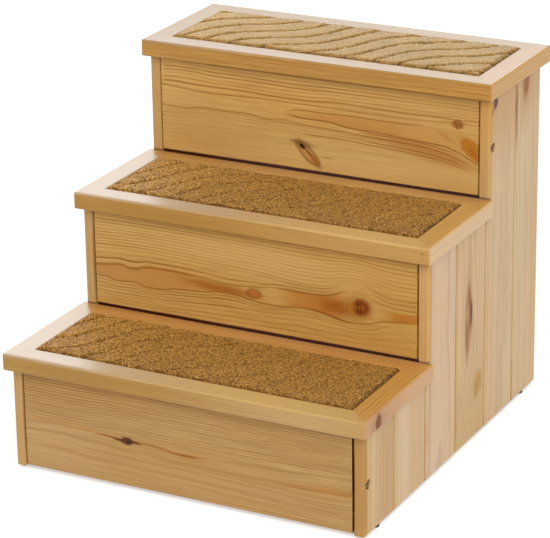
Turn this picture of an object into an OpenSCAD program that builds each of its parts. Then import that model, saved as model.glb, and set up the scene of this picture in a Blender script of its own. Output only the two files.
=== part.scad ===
// Pet stairs: three carpeted treads and three risers between two stepped, boarded side panels.
// Millimetres. X runs across the stairs, Y from front to back, Z up.
// The origin is on the floor, under the middle of the stairs.

/* [Steps] */
// Width over the treads
tread_w = 400; // [340:5:460]
// Distance from the front of one riser to the front of the next
run = 147; // [140:1:160]
// Height from the top of one tread to the top of the next
rise = 124; // [112:1:136]
// Thickness of the tread frames
tread_t = 18; // [16:0.5:20]

/* [Overhangs] */
// How far a tread stands out in front of its riser
front_overhang = 10; // [6:0.5:14]
// How far a tread stands out beyond a side panel
side_overhang = 4; // [3:0.5:8]
// How far the top tread stands out behind the side panels
rear_overhang = 16; // [8:1:20]

/* [Treads] */
// Width of the mitred rails round the carpet
rail_w = 24; // [22:0.5:27]
// Thickness of the board under the carpet
base_t = 11; // [9:0.5:12]
// How far the carpet stands above the rails
carpet_proud = 1; // [0.5:0.1:2]
// Radius on the edges of the rails
rail_edge_r = 1.8; // [1:0.1:2.5]

/* [Side panels] */
// Thickness of the side boards
board_t = 12.5; // [12:0.5:14]
// How far the V between two boards stands in front of the riser behind it
joint_lead = 8.5; // [6:0.5:12]
// Depth of each half of the V between two boards
v_depth = 2.6; // [1.5:0.1:3]
// Radius on the upright outer edges of the panels
panel_edge_r = 4; // [2:0.5:5]
// Radius on the bottom edges of the panels
panel_foot_r = 3; // [1:0.5:4]

/* [Risers] */
// Thickness of the risers
riser_t = 12.5; // [12:0.5:15]
// Gap between a riser's end and the side panel
riser_end_gap = 1.3; // [0.8:0.1:2]
// Gap under a riser
riser_foot_gap = 2; // [1.5:0.1:3]

/* [Cleats and rear rails] */
// Width of a cleat, measured out from the side panel
cleat_w = 15; // [14:0.5:18]
// Height of a cleat
cleat_h = 18; // [15:0.5:22]
// Depth of a cross cleat, which closes the way in behind a lower tread
cross_cleat_d = 18; // [14:0.5:22]
// Height of a rear rail
rear_rail_h = 70; // [60:1:80]
// Thickness of a rear rail
rear_rail_t = 12.5; // [12:0.5:15]

/* [Feet] */
// Diameter of a foot
foot_d = 10; // [8:0.5:11]
// Height of a foot
foot_h = 3; // [2:0.5:5]
// Distance from the end of a side panel to the middle of a foot
foot_inset = 33; // [25:1:45]

/* [Hidden] */
$fn = 48;

// Counts
step_count = 3;
boards_per_step = 2;
board_count = step_count * boards_per_step;
// Steps whose riser is screwed from outside
screwed_steps = [1, 3];

// Overrun of every cut
cut = 1;
// Running gap between pieces that only lie against each other
seat_gap = 0.3;

// How far a tread reaches behind the front of the next riser, and the gap behind it
tread_tuck = 1;
tread_end_gap = 1.5;
// Gap between a tread and the strip of side panel above it
strip_gap = 1.4;
tread_d = front_overhang + run + tread_tuck;
total_d = (step_count - 1) * run + tread_d;

// Width of a rail outside the rabbet that holds the base board
rail_heel_w = 16;
rail_inner_r = 1;
tread_corner_r = 1.5;
carpet_gap = 0.4;
carpet_edge_r = 2;

// Tongue and groove of the side boards, measured in from the outer face
tongue_in = 5;
tongue_t = 3.5;
tongue_l = 5.5;
tongue_clear = 0.15;
tongue_end_gap = 0.5;
panel_inner_r = 1.5;

riser_edge_r = 1;
riser_top_gap = 0.3;
rear_rail_inset = 2;
floor_batten_lift = 10;

// Screws through the side panels into the risers
riser_screw_d = 4;
riser_screw_l = 36;
riser_screw_head_d = 8.6;
riser_screw_head_h = 2.6;
riser_screw_sink_d = 10;
riser_screw_sink = 4;
// Screws up through the cleats into the tread bases
tread_screw_d = 3.5;
tread_screw_head_d = 7;
tread_screw_head_h = 2.4;
tread_screw_edge = 16;
// Wood left above the point of a tread screw
tread_screw_cover = 3;
tread_screw_bite = base_t - tread_screw_cover;
screw_clear = 0.15;
screw_tip = 3;
screw_end_gap = 1.5;
riser_screw_hole_d = riser_screw_d + 2 * screw_clear;
tread_screw_hole_d = tread_screw_d + 2 * screw_clear;
// Cross recess in a screw head
cross_w = 1;
cross_depth = 1.2;
cross_share = 0.6;

// Dowels between the panels and the pieces across them
dowel_d = 6;
dowel_in_panel = 8;
dowel_in_end = 16;
dowel_clear = 0.1;
dowel_end_gap = 0.5;
dowel_edge = 18;
dowel_chamfer = 0.8;
dowel_hole_d = dowel_d + 2 * dowel_clear;

// Nail that holds a foot, in a sunk hole
nail_d = 2;
nail_l = 14;
nail_head_d = 4.6;
nail_head_h = 0.8;
nail_sink = 1.6;
nail_clear = 0.1;
foot_edge_r = 0.8;

// Places worked out from the sizes above
front_y = -total_d / 2;
panel_x = tread_w / 2 - side_overhang;
inner_x = panel_x - board_t;
panel_front = front_y + front_overhang;
panel_rear = total_d / 2 - rear_overhang;
panel_top = foot_h + step_count * rise - tread_t;
riser_h = rise - tread_t - riser_foot_gap - riser_top_gap;
riser_w = 2 * (inner_x - riser_end_gap);
rear_rail_front = panel_rear - rear_rail_inset - rear_rail_t;
cleat_rear = rear_rail_front - seat_gap;
rear_rail_lower_z = foot_h + riser_foot_gap;
rear_rail_upper_z = panel_top - riser_top_gap - rear_rail_h;

// Front of riser n, and height of the top of tread n: level 0 is the bottom of the panels
function riser_y(n) = panel_front + (n - 1) * run;
function level(n) = foot_h + n * rise;
function riser_z(n) = level(n - 1) + riser_foot_gap;
// Front edge of side board i, and of the piece behind the last one
function board_y(i) =
    i == 1 ? panel_front :
    i > board_count ? panel_rear :
    panel_front + (i - 1) * run / boards_per_step - joint_lead;
// Heights of the two dowels in an end that starts at z and is h high
function dowel_heights(z, h) = [z + dowel_edge, z + h - dowel_edge];
// Middles of the dowels, as [y, z]
riser_dowel_places = [
    for (n = [1:step_count])
        for (z = dowel_heights(riser_z(n), riser_h))
            [riser_y(n) + riser_t / 2, z]
];
rear_dowel_places = [
    for (z0 = [rear_rail_lower_z, rear_rail_upper_z])
        for (z = dowel_heights(z0, rear_rail_h))
            [rear_rail_front + rear_rail_t / 2, z]
];
riser_screw_places = [
    for (n = screwed_steps)
        [riser_y(n) + riser_t / 2, riser_z(n) + riser_h / 2]
];
foot_places = [panel_front + foot_inset, panel_rear - foot_inset];
foot_x = panel_x - board_t / 2;
// Distances of the two tread screws behind the riser's front
tread_screw_places = [
    riser_t + tread_screw_edge,
    tread_d - front_overhang - rear_overhang - rear_rail_inset - rear_rail_t - tread_screw_edge
];
tread_screw_x = inner_x - cleat_w / 2;

pine = [0.80, 0.61, 0.38];
pale_pine = [0.86, 0.74, 0.58];
plywood = [0.78, 0.66, 0.48];
carpet_tan = [0.66, 0.52, 0.32];
steel = [0.70, 0.69, 0.66];
black_rubber = [0.06, 0.06, 0.06];

// Shared shapes

// Waste outside a rounded corner at the origin, whose piece fills the quarter with positive x and y
module corner_waste(r) {
    difference() {
        translate([-cut, -cut]) square(r + cut);
        translate([r, r]) circle(r);
    }
}

// Rectangle from the origin with all four corners rounded
module round_rect(w, h, r) {
    difference() {
        square([w, h]);
        corner_waste(r);
        translate([w, 0]) mirror([1, 0]) corner_waste(r);
        translate([0, h]) mirror([0, 1]) corner_waste(r);
        translate([w, h]) rotate(180) corner_waste(r);
    }
}

// Bar from x = -l/2 to l/2 with its round_rect section in Y and Z
module round_bar(l, d, h, r) {
    translate([-l / 2, 0, 0])
        rotate([90, 0, 90])
            linear_extrude(l) round_rect(d, h, r);
}

// Screw with its head's top at the origin, running down, flat under the head
module screw(d, l, head_d, head_h) {
    difference() {
        translate([0, 0, -head_h]) cylinder(d = head_d, h = head_h);
        for (turn = [0, 90])
            rotate(turn)
                translate([-head_d * cross_share / 2, -cross_w / 2, -cross_depth])
                    cube([head_d * cross_share, cross_w, cross_depth + cut]);
    }
    translate([0, 0, -head_h - l + screw_tip]) cylinder(d = d, h = l - screw_tip);
    translate([0, 0, -head_h - l]) cylinder(d1 = 0, d2 = d, h = screw_tip);
}

// Dowel along X, centred on its own middle in Y and Z, from x = 0
module dowel() {
    l = dowel_in_panel + riser_end_gap + dowel_in_end;
    rotate([0, 90, 0]) {
        cylinder(d1 = dowel_d - 2 * dowel_chamfer, d2 = dowel_d, h = dowel_chamfer);
        translate([0, 0, dowel_chamfer]) cylinder(d = dowel_d, h = l - 2 * dowel_chamfer);
        translate([0, 0, l - dowel_chamfer])
            cylinder(d1 = dowel_d, d2 = dowel_d - 2 * dowel_chamfer, h = dowel_chamfer);
    }
}

// Children on the right, and mirrored on the left
module both_sides() {
    children();
    mirror([1, 0, 0]) children();
}

// Treads

// Section of a rail: outer edge at x = 0, underside at y = 0, rabbet at the inner lower corner
module rail_section() {
    difference() {
        square([rail_w, tread_t]);
        corner_waste(rail_edge_r);
        translate([0, tread_t]) mirror([0, 1]) corner_waste(rail_edge_r);
        translate([rail_w, tread_t]) rotate(180) corner_waste(rail_inner_r);
        translate([rail_heel_w, -cut]) square([rail_w - rail_heel_w + cut, base_t + seat_gap + cut]);
    }
}

// Rail of length l with mitred ends, its outer edge on the X axis and its body towards +Y
module rail(l) {
    intersection() {
        translate([-l / 2, 0, 0])
            rotate([90, 0, 90])
                linear_extrude(l) rail_section();
        linear_extrude(tread_t)
            difference() {
                polygon([[-l / 2, 0], [l / 2, 0], [l / 2 - rail_w, rail_w], [rail_w - l / 2, rail_w]]);
                translate([-l / 2, 0]) corner_waste(tread_corner_r);
                translate([l / 2, 0]) mirror([1, 0]) corner_waste(tread_corner_r);
            }
    }
}

// Moves children from a frame at the middle of a tread's underside to tread n
module at_tread(n) {
    translate([0, riser_y(n) - front_overhang + tread_d / 2, level(n) - tread_t]) children();
}

module front_rail(n) {
    color(pine) at_tread(n) translate([0, -tread_d / 2, 0]) rail(tread_w);
}

module rear_rail(n) {
    color(pine) at_tread(n) translate([0, tread_d / 2, 0]) rotate(180) rail(tread_w);
}

module side_rail(n, side) {
    color(pine) at_tread(n) translate([side * tread_w / 2, 0, 0]) rotate(side * 90) rail(tread_d);
}

module tread_base(n) {
    in = rail_heel_w + seat_gap;
    color(plywood)
        difference() {
            at_tread(n)
                translate([in - tread_w / 2, in - tread_d / 2, 0])
                    cube([tread_w - 2 * in, tread_d - 2 * in, base_t]);
            both_sides()
                for (y = tread_screw_places)
                    translate([tread_screw_x, riser_y(n) + y, level(n) - tread_t - cut])
                        cylinder(d = tread_screw_hole_d, h = tread_screw_bite + screw_end_gap + cut);
        }
}

// Carpet inlay, rounded along its upper edges
module carpet(n) {
    in = rail_w + carpet_gap;
    h = tread_t - base_t + carpet_proud;
    w = tread_w - 2 * in;
    d = tread_d - 2 * in;
    // The rounded bars reach down past the flat underside
    bar_h = h + carpet_edge_r;
    color(carpet_tan)
        at_tread(n)
            translate([0, 0, base_t])
                intersection() {
                    translate([0, -d / 2, -carpet_edge_r]) round_bar(w, d, bar_h, carpet_edge_r);
                    rotate(90)
                        translate([0, -w / 2, -carpet_edge_r]) round_bar(d, w, bar_h, carpet_edge_r);
                    translate([-w / 2, -d / 2, 0]) cube([w, d, h]);
                }
}

// Risers

// Blind dowel hole in the right end of a piece across the stairs
module end_dowel_hole(y, z) {
    translate([riser_w / 2 - dowel_in_end - dowel_end_gap, y, z])
        rotate([0, 90, 0])
            cylinder(d = dowel_hole_d, h = dowel_in_end + dowel_end_gap + cut);
}

module riser(n) {
    middle_y = riser_y(n) + riser_t / 2;
    screws = [for (s = screwed_steps) if (s == n) riser_z(n) + riser_h / 2];
    color(pine)
        difference() {
            translate([0, riser_y(n), riser_z(n)]) round_bar(riser_w, riser_t, riser_h, riser_edge_r);
            both_sides() {
                for (z = dowel_heights(riser_z(n), riser_h)) end_dowel_hole(middle_y, z);
                for (z = screws)
                    translate([panel_x - riser_screw_sink - riser_screw_l - screw_end_gap, middle_y, z])
                        rotate([0, 90, 0])
                            cylinder(d = riser_screw_hole_d, h = riser_screw_l + screw_end_gap);
            }
        }
}

// Side panels, drawn on the right

// Outline of board i from above: outer face at panel_x, V and groove in front, V and tongue behind
module board_outline(i) {
    y0 = board_y(i);
    y1 = board_y(i + 1);
    first = i == 1;
    last = i == board_count;
    tongue_out = tongue_in + tongue_t;
    groove_l = tongue_l + tongue_end_gap;
    front = first ? [[inner_x, y0], [panel_x, y0]] : [
        [inner_x, y0],
        [panel_x - tongue_out - tongue_clear, y0],
        [panel_x - tongue_out - tongue_clear, y0 + groove_l],
        [panel_x - tongue_in + tongue_clear, y0 + groove_l],
        [panel_x - tongue_in + tongue_clear, y0],
        [panel_x - v_depth, y0],
        [panel_x, y0 + v_depth]
    ];
    rear = last ? [[panel_x, y1], [inner_x, y1]] : [
        [panel_x, y1 - v_depth],
        [panel_x - v_depth, y1],
        [panel_x - tongue_in, y1],
        [panel_x - tongue_in, y1 + tongue_l],
        [panel_x - tongue_out, y1 + tongue_l],
        [panel_x - tongue_out, y1],
        [inner_x, y1]
    ];
    polygon(concat(front, rear));
}

// Waste along the upright edges of a stepped edge at y, from z up, rounded on both faces
module upright_edge_waste(y, z) {
    translate([0, y, z])
        linear_extrude(panel_top - z + cut) {
            translate([panel_x, 0]) mirror([1, 0]) corner_waste(panel_edge_r);
            translate([inner_x, 0]) corner_waste(panel_inner_r);
        }
}

// Waste in front of riser n's plane, above the tread in front of it
module step_waste(n) {
    seat_z = level(n - 1) - tread_t;
    strip_z = level(n - 1) + strip_gap;
    translate([inner_x - cut, panel_front - cut, seat_z])
        cube([board_t + 2 * cut, (n - 1) * run + cut, panel_top - seat_z + cut]);
    translate([inner_x - cut, panel_front - cut, seat_z])
        cube([board_t + 2 * cut, (n - 1) * run + tread_tuck + tread_end_gap + cut, strip_z - seat_z]);
    upright_edge_waste(riser_y(n), strip_z);
}

// Waste below the rounded bottom edges
module panel_foot_waste() {
    translate([0, panel_rear + cut, foot_h])
        rotate([90, 0, 0])
            linear_extrude(panel_rear - panel_front + 2 * cut) {
                translate([panel_x, 0]) mirror([1, 0]) corner_waste(panel_foot_r);
                translate([inner_x, 0]) corner_waste(panel_foot_r);
            }
}

// Blind dowel hole from the inner face
module dowel_hole(place) {
    translate([inner_x - cut, place[0], place[1]])
        rotate([0, 90, 0])
            cylinder(d = dowel_hole_d, h = dowel_in_panel + dowel_end_gap + cut);
}

// Sunk hole for a riser screw, from the outer face
module riser_screw_hole(place) {
    translate([inner_x - cut, place[0], place[1]])
        rotate([0, 90, 0])
            cylinder(d = riser_screw_hole_d, h = board_t + 2 * cut);
    translate([panel_x - riser_screw_sink, place[0], place[1]])
        rotate([0, 90, 0])
            cylinder(d = riser_screw_sink_d, h = riser_screw_sink + cut);
}

module right_board(i) {
    y0 = board_y(i);
    y1 = board_y(i + 1) + (i == board_count ? 0 : tongue_l);
    color(pale_pine)
        difference() {
            translate([0, 0, foot_h]) linear_extrude(panel_top - foot_h) board_outline(i);
            for (n = [2:step_count])
                if (riser_y(n) + panel_edge_r > y0) step_waste(n);
            if (i == 1) upright_edge_waste(panel_front, foot_h - cut);
            if (i == board_count)
                translate([0, panel_rear, 0]) mirror([0, 1, 0]) upright_edge_waste(0, foot_h - cut);
            panel_foot_waste();
            for (p = concat(riser_dowel_places, rear_dowel_places))
                if (p[0] + dowel_d > y0 && p[0] - dowel_d < y1) dowel_hole(p);
            for (p = riser_screw_places)
                if (p[0] + riser_screw_sink_d > y0 && p[0] - riser_screw_sink_d < y1) riser_screw_hole(p);
            for (y = foot_places)
                if (y + foot_d > y0 && y - foot_d < y1)
                    translate([foot_x, y, foot_h - cut])
                        cylinder(d = nail_d + 2 * nail_clear, h = nail_l + cut);
        }
}

module board(side, i) {
    if (side > 0) right_board(i);
    else mirror([1, 0, 0]) right_board(i);
}

// Cleats inside the panels: n above the floor batten carries tread n, n = 0 is the floor batten

module right_cleat(n) {
    top = n == 0 ? foot_h + floor_batten_lift + cleat_h : level(n) - tread_t;
    y0 = riser_y(max(n, 1)) + riser_t + seat_gap;
    color(pine)
        difference() {
            translate([inner_x - cleat_w, y0, top - cleat_h]) cube([cleat_w, cleat_rear - y0, cleat_h]);
            if (n > 0)
                for (y = tread_screw_places)
                    translate([tread_screw_x, riser_y(n) + y, top - cleat_h - cut]) {
                        cylinder(d = tread_screw_hole_d, h = cleat_h + 2 * cut);
                        cylinder(d = tread_screw_head_d + 2 * screw_clear, h = tread_screw_head_h + cut);
                    }
        }
}

module cleat(side, n) {
    if (side > 0) right_cleat(n);
    else mirror([1, 0, 0]) right_cleat(n);
}

// Bar across the stairs, on the cleats of tread n, behind that tread and under the next riser
module cross_cleat(n) {
    color(pine)
        translate([0, riser_y(n + 1) + tread_tuck + seat_gap, level(n) - tread_t])
            round_bar(riser_w, cross_cleat_d, tread_t, riser_edge_r);
}

// Rail across the back between the panels, its underside at z
module cross_rail(z) {
    color(pine)
        difference() {
            translate([0, rear_rail_front, z]) round_bar(riser_w, rear_rail_t, rear_rail_h, riser_edge_r);
            both_sides()
                for (h = dowel_heights(z, rear_rail_h))
                    end_dowel_hole(rear_rail_front + rear_rail_t / 2, h);
        }
}

// Feet and fixings

module foot(side, y) {
    color(black_rubber)
        translate([side * foot_x, y, 0])
            difference() {
                rotate_extrude()
                    difference() {
                        square([foot_d / 2, foot_h]);
                        translate([foot_d / 2, 0]) mirror([1, 0]) corner_waste(foot_edge_r);
                    }
                translate([0, 0, -cut]) cylinder(d = nail_d + 2 * nail_clear, h = foot_h + 2 * cut);
                translate([0, 0, -cut]) cylinder(d = nail_head_d + 2 * nail_clear, h = nail_sink + cut);
            }
}

module foot_nails() {
    color(steel)
        both_sides()
            for (y = foot_places)
                translate([foot_x, y, nail_sink - nail_head_h]) {
                    cylinder(d = nail_head_d, h = nail_head_h);
                    cylinder(d = nail_d, h = nail_l);
                }
}

module riser_screws() {
    color(steel)
        both_sides()
            for (p = riser_screw_places)
                translate([panel_x - riser_screw_sink + riser_screw_head_h, p[0], p[1]])
                    rotate([0, 90, 0])
                        screw(riser_screw_d, riser_screw_l, riser_screw_head_d, riser_screw_head_h);
}

module tread_screws() {
    color(steel)
        both_sides()
            for (n = [1:step_count])
                for (y = tread_screw_places)
                    translate([tread_screw_x, riser_y(n) + y, level(n) - tread_t - cleat_h])
                        mirror([0, 0, 1])
                            screw(
                                tread_screw_d,
                                cleat_h - tread_screw_head_h + tread_screw_bite,
                                tread_screw_head_d,
                                tread_screw_head_h
                            );
}

module dowels(places) {
    color(pale_pine)
        both_sides()
            for (p = places)
                translate([riser_w / 2 - dowel_in_end, p[0], p[1]]) dowel();
}

front_rail(1);  // tread_1_front_rail
rear_rail(1);  // tread_1_rear_rail
side_rail(1, -1);  // tread_1_left_rail
side_rail(1, 1);  // tread_1_right_rail
tread_base(1);  // tread_1_base
carpet(1);  // tread_1_carpet
front_rail(2);  // tread_2_front_rail
rear_rail(2);  // tread_2_rear_rail
side_rail(2, -1);  // tread_2_left_rail
side_rail(2, 1);  // tread_2_right_rail
tread_base(2);  // tread_2_base
carpet(2);  // tread_2_carpet
front_rail(3);  // tread_3_front_rail
rear_rail(3);  // tread_3_rear_rail
side_rail(3, -1);  // tread_3_left_rail
side_rail(3, 1);  // tread_3_right_rail
tread_base(3);  // tread_3_base
carpet(3);  // tread_3_carpet
riser(1);  // riser_1
riser(2);  // riser_2
riser(3);  // riser_3
cross_cleat(1);  // cross_cleat_1
cross_cleat(2);  // cross_cleat_2
board(-1, 1);  // left_board_1
board(-1, 2);  // left_board_2
board(-1, 3);  // left_board_3
board(-1, 4);  // left_board_4
board(-1, 5);  // left_board_5
board(-1, 6);  // left_board_6
board(1, 1);  // right_board_1
board(1, 2);  // right_board_2
board(1, 3);  // right_board_3
board(1, 4);  // right_board_4
board(1, 5);  // right_board_5
board(1, 6);  // right_board_6
cleat(-1, 1);  // left_cleat_1
cleat(-1, 2);  // left_cleat_2
cleat(-1, 3);  // left_cleat_3
cleat(-1, 0);  // left_floor_batten
cleat(1, 1);  // right_cleat_1
cleat(1, 2);  // right_cleat_2
cleat(1, 3);  // right_cleat_3
cleat(1, 0);  // right_floor_batten
cross_rail(rear_rail_lower_z);  // rear_rail_lower
cross_rail(rear_rail_upper_z);  // rear_rail_upper
foot(-1, foot_places[0]);  // front_left_foot
foot(1, foot_places[0]);  // front_right_foot
foot(-1, foot_places[1]);  // rear_left_foot
foot(1, foot_places[1]);  // rear_right_foot
foot_nails();
riser_screws();
tread_screws();
dowels(riser_dowel_places);  // riser_dowels
dowels(rear_dowel_places);  // rear_rail_dowels
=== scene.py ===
"""Looks of the pet stairs: varnished pine, tufted carpet inlays, rubber feet and steel screws.

Laid out as an add-on and run as a script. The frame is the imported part's own: X to the right of a viewer
in front, Y back, Z up, with the origin on the floor under the middle. Lengths are in metres, but the
tables of the grain are in millimetres.
"""

import math

import bmesh
import bpy
from bpy.props import FloatProperty, FloatVectorProperty, PointerProperty
from mathutils import Matrix, Vector, noise


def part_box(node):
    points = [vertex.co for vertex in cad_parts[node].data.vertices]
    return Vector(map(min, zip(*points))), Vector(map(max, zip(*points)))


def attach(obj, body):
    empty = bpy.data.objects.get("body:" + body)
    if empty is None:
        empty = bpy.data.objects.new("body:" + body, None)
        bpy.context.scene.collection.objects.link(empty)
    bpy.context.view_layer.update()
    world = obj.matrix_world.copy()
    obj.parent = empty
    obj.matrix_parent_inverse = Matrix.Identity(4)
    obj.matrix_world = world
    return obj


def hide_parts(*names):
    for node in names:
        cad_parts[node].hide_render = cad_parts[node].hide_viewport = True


bl_info = {
    "name": "Pet stairs",
    "version": (1, 0, 0),
    "blender": (4, 5, 0),
    "location": "3D View > Sidebar > Pet stairs",
    "description": "Dresses the packed pet stairs in pine, carpet, rubber and steel",
    "category": "Object",
}

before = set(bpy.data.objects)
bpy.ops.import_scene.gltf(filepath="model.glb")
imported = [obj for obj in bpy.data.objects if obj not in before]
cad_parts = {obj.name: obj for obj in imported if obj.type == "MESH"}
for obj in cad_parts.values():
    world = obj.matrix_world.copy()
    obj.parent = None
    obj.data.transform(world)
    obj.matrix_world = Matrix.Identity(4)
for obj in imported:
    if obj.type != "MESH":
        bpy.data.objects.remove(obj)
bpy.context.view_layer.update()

MM = 0.001
BODY = "root"
STEPS = (1, 2, 3)


# Settings

class PineSettings(bpy.types.PropertyGroup):
    """Colours and varnish of the pine"""

    front_colour: FloatVectorProperty(
        name="Riser colour", description="Pale wood between the rings of the risers and rails",
        subtype="COLOR", default=(0.60, 0.365, 0.112), min=0, max=1)
    side_colour: FloatVectorProperty(
        name="Side board colour", description="Pale wood between the rings of the side boards",
        subtype="COLOR", default=(0.67, 0.46, 0.235), min=0, max=1)
    ring_colour: FloatVectorProperty(
        name="Ring colour", description="Dark wood at the end of each ring",
        subtype="COLOR", default=(0.33, 0.125, 0.019), min=0, max=1)
    gloss_roughness: FloatProperty(
        name="Varnish roughness", description="Roughness of the clear varnish",
        subtype="FACTOR", default=0.30, min=0, max=1)
    face_varnish: FloatProperty(
        name="Varnish face on", description="Strength of the varnish seen face on",
        subtype="FACTOR", default=0.1, min=0, max=1)
    edge_varnish: FloatProperty(
        name="Varnish on treads", description="Strength that a slanting view adds on faces that lie flat",
        subtype="FACTOR", default=0.9, min=0, max=1)
    wall_varnish: FloatProperty(
        name="Varnish on walls", description="Strength that a slanting view adds on upright faces",
        subtype="FACTOR", default=0.36, min=0, max=1)


class CarpetSettings(bpy.types.PropertyGroup):
    """Pile and furrows of the carpet inlays"""

    tip_colour: FloatVectorProperty(
        name="Tip colour", description="Colour at the tips of the pile",
        subtype="COLOR", default=(0.50, 0.255, 0.050), min=0, max=1)
    # Root colour: the pile's base, and the painted shade between its tufts and in its furrows
    root_colour: FloatVectorProperty(
        name="Root colour", description="Colour deep in the pile",
        subtype="COLOR", default=(0.12, 0.050, 0.008), min=0, max=1)
    cell: FloatProperty(
        name="Mesh cell", description="Distance between the points of the pile's mesh",
        unit="LENGTH", default=0.64 * MM, min=0.4 * MM)
    tuft: FloatProperty(
        name="Tuft", description="Distance from one tuft to the next", unit="LENGTH", default=1.75 * MM)
    tuft_height: FloatProperty(
        name="Tuft height", description="Height of a tuft over the gap beside it",
        unit="LENGTH", default=0.75 * MM)
    proud: FloatProperty(
        name="Proud", description="Height of the pile over the plain inlay",
        unit="LENGTH", default=1.5 * MM)
    furrow_gap: FloatProperty(
        name="Furrow spacing", description="Distance from one furrow to the next",
        unit="LENGTH", default=28 * MM)
    furrow_depth: FloatProperty(
        name="Furrow depth", description="Depth of a furrow", unit="LENGTH", default=3.6 * MM)
    furrow_width: FloatProperty(
        name="Furrow width", description="Half the width of a furrow", unit="LENGTH", default=2.3 * MM)
    wave_length: FloatProperty(
        name="Wave length", description="Length of one wave of a furrow", unit="LENGTH", default=146 * MM)
    wave_height: FloatProperty(
        name="Wave height", description="Furthest that a furrow strays from its line",
        unit="LENGTH", default=8.4 * MM)
    furrow_turn: FloatProperty(
        name="Furrow direction", description="Angle of the furrows to the front edge",
        subtype="ANGLE", default=math.radians(48))


class StageSettings(bpy.types.PropertyGroup):
    """Camera and lamps"""

    azimuth: FloatProperty(
        name="Camera azimuth", description="Angle of the view round the stairs",
        subtype="ANGLE", default=math.radians(27.536))
    elevation: FloatProperty(
        name="Camera elevation", description="Angle of the view above the floor",
        subtype="ANGLE", default=math.radians(20.764))
    roll: FloatProperty(
        name="Camera roll", description="Turn of the picture", subtype="ANGLE", default=math.radians(-0.869))
    distance: FloatProperty(
        name="Camera distance", description="Distance from the aim point", unit="LENGTH", default=2.8117)
    focal_pixels: FloatProperty(
        name="Focal length in pixels", description="Focal length where the picture's width is 550 pixels",
        subtype="PIXEL", default=2738.76)
    world_strength: FloatProperty(
        name="World light", description="Strength of the even light from all round",
        subtype="FACTOR", default=0.47, min=0, max=1)
    key_power: FloatProperty(
        name="Key lamp", description="Power of the lamp above the front", unit="POWER", default=97)
    back_power: FloatProperty(
        name="Back lamp", description="Power of the lamp behind on the left", unit="POWER", default=14)


SETTINGS = {"stairs_pine": PineSettings, "stairs_carpet": CarpetSettings, "stairs_stage": StageSettings}


# Shader helpers

# Values of a noise between which it is spread from 0 to 1
NOISE_SPAN = (0.3, 0.7)


def add_node(tree, kind, inputs=(), **settings):
    """A new node; inputs maps a socket's name or number to a value, or to the socket that feeds it."""
    made = tree.nodes.new(kind)
    for key, value in settings.items():
        setattr(made, key, value)
    for key, value in dict(inputs).items():
        if isinstance(value, bpy.types.NodeSocket):
            tree.links.new(value, made.inputs[key])
        else:
            made.inputs[key].default_value = value
    return made


def calc(tree, operation, *values, clamp=False):
    """Result of a Math node."""
    made = add_node(tree, "ShaderNodeMath", enumerate(values), operation=operation, use_clamp=clamp)
    return made.outputs[0]


def product(tree, first, *others):
    """Product of two or more numbers."""
    for other in others:
        first = calc(tree, "MULTIPLY", first, other)
    return first


def vector_calc(tree, operation, *values):
    """Result of a Vector Math node: a number for LENGTH, or else a vector."""
    made = add_node(tree, "ShaderNodeVectorMath", enumerate(values), operation=operation)
    return made.outputs["Value" if operation == "LENGTH" else "Vector"]


def scaled(tree, vector, by):
    """A vector times a number."""
    return add_node(tree, "ShaderNodeVectorMath", {0: vector, "Scale": by}, operation="SCALE").outputs[0]


def split(tree, vector):
    """The three parts of a vector."""
    return add_node(tree, "ShaderNodeSeparateXYZ", {0: vector}).outputs


def object_place(tree):
    """The place in the row's frame."""
    return add_node(tree, "ShaderNodeTexCoord").outputs["Object"]


def blend_colour(tree, share, a, b, mode="MIX"):
    """Colour a mixed with b by share."""
    made = add_node(tree, "ShaderNodeMix", {0: share, 6: a, 7: b}, data_type="RGBA", blend_type=mode)
    return made.outputs[2]


def steps(tree, value, low, high, to_low=0.0, to_high=1.0, kind="SMOOTHSTEP"):
    """A change from to_low to to_high, smooth or LINEAR, as value goes from low to high."""
    return add_node(tree, "ShaderNodeMapRange", {
        "Value": value, "From Min": low, "From Max": high, "To Min": to_low, "To Max": to_high,
    }, interpolation_type=kind).outputs["Result"]


def shaded(tree, base, share, level, dark, pale):
    """Base colour times a shade, which goes from dark to pale as level goes from 0 to 1."""
    return blend_colour(tree, share, base, blend_colour(tree, level, dark, pale), "MULTIPLY")


def noise_of(tree, place, scale=1.0, detail=2.0, roughness=0.5):
    """Outputs of noise at a place: Fac is a number, and Color three of them as a vector."""
    return add_node(tree, "ShaderNodeTexNoise", {
        "Vector": place, "Scale": scale, "Detail": detail, "Roughness": roughness,
    }).outputs


def stretched_noise(tree, place, stretch, *detail_roughness):
    """Noise that changes as often, per metre along each axis, as stretch says."""
    return noise_of(tree, vector_calc(tree, "MULTIPLY", place, stretch), 1.0, *detail_roughness)


def stray(tree, place, stretch, by, *detail):
    """A vector of noise about nought, times a number."""
    free = stretched_noise(tree, place, stretch, *detail)["Color"]
    return scaled(tree, vector_calc(tree, "SUBTRACT", free, (0.5, 0.5, 0.5)), by)


def new_group(name, inputs, outputs):
    """A node group with sockets named in inputs and outputs as {name: kind}, the sockets that give it
    what it works on, and those that take its results."""
    tree = bpy.data.node_groups.new(name, "ShaderNodeTree")
    for names, way in ((inputs, "INPUT"), (outputs, "OUTPUT")):
        for socket, kind in names.items():
            tree.interface.new_socket(name=socket, in_out=way, socket_type="NodeSocket" + kind)
    return tree, tree.nodes.new("NodeGroupInput").outputs, tree.nodes.new("NodeGroupOutput").inputs


def use_group(tree, name, maker, inputs):
    """Outputs of a new node for the named group, which its maker makes at its first use."""
    group = bpy.data.node_groups.get(name) or maker(name)
    return add_node(tree, "ShaderNodeGroup", inputs, node_tree=group).outputs


def emptied(owner):
    """The tree of a new material or world, without nodes."""
    owner.use_nodes = True
    owner.node_tree.nodes.clear()
    return owner.node_tree


def show_surface(tree, shader, kind="ShaderNodeOutputMaterial"):
    """Ends the tree with this shader."""
    add_node(tree, kind, {0: shader.outputs[0]})


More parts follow.
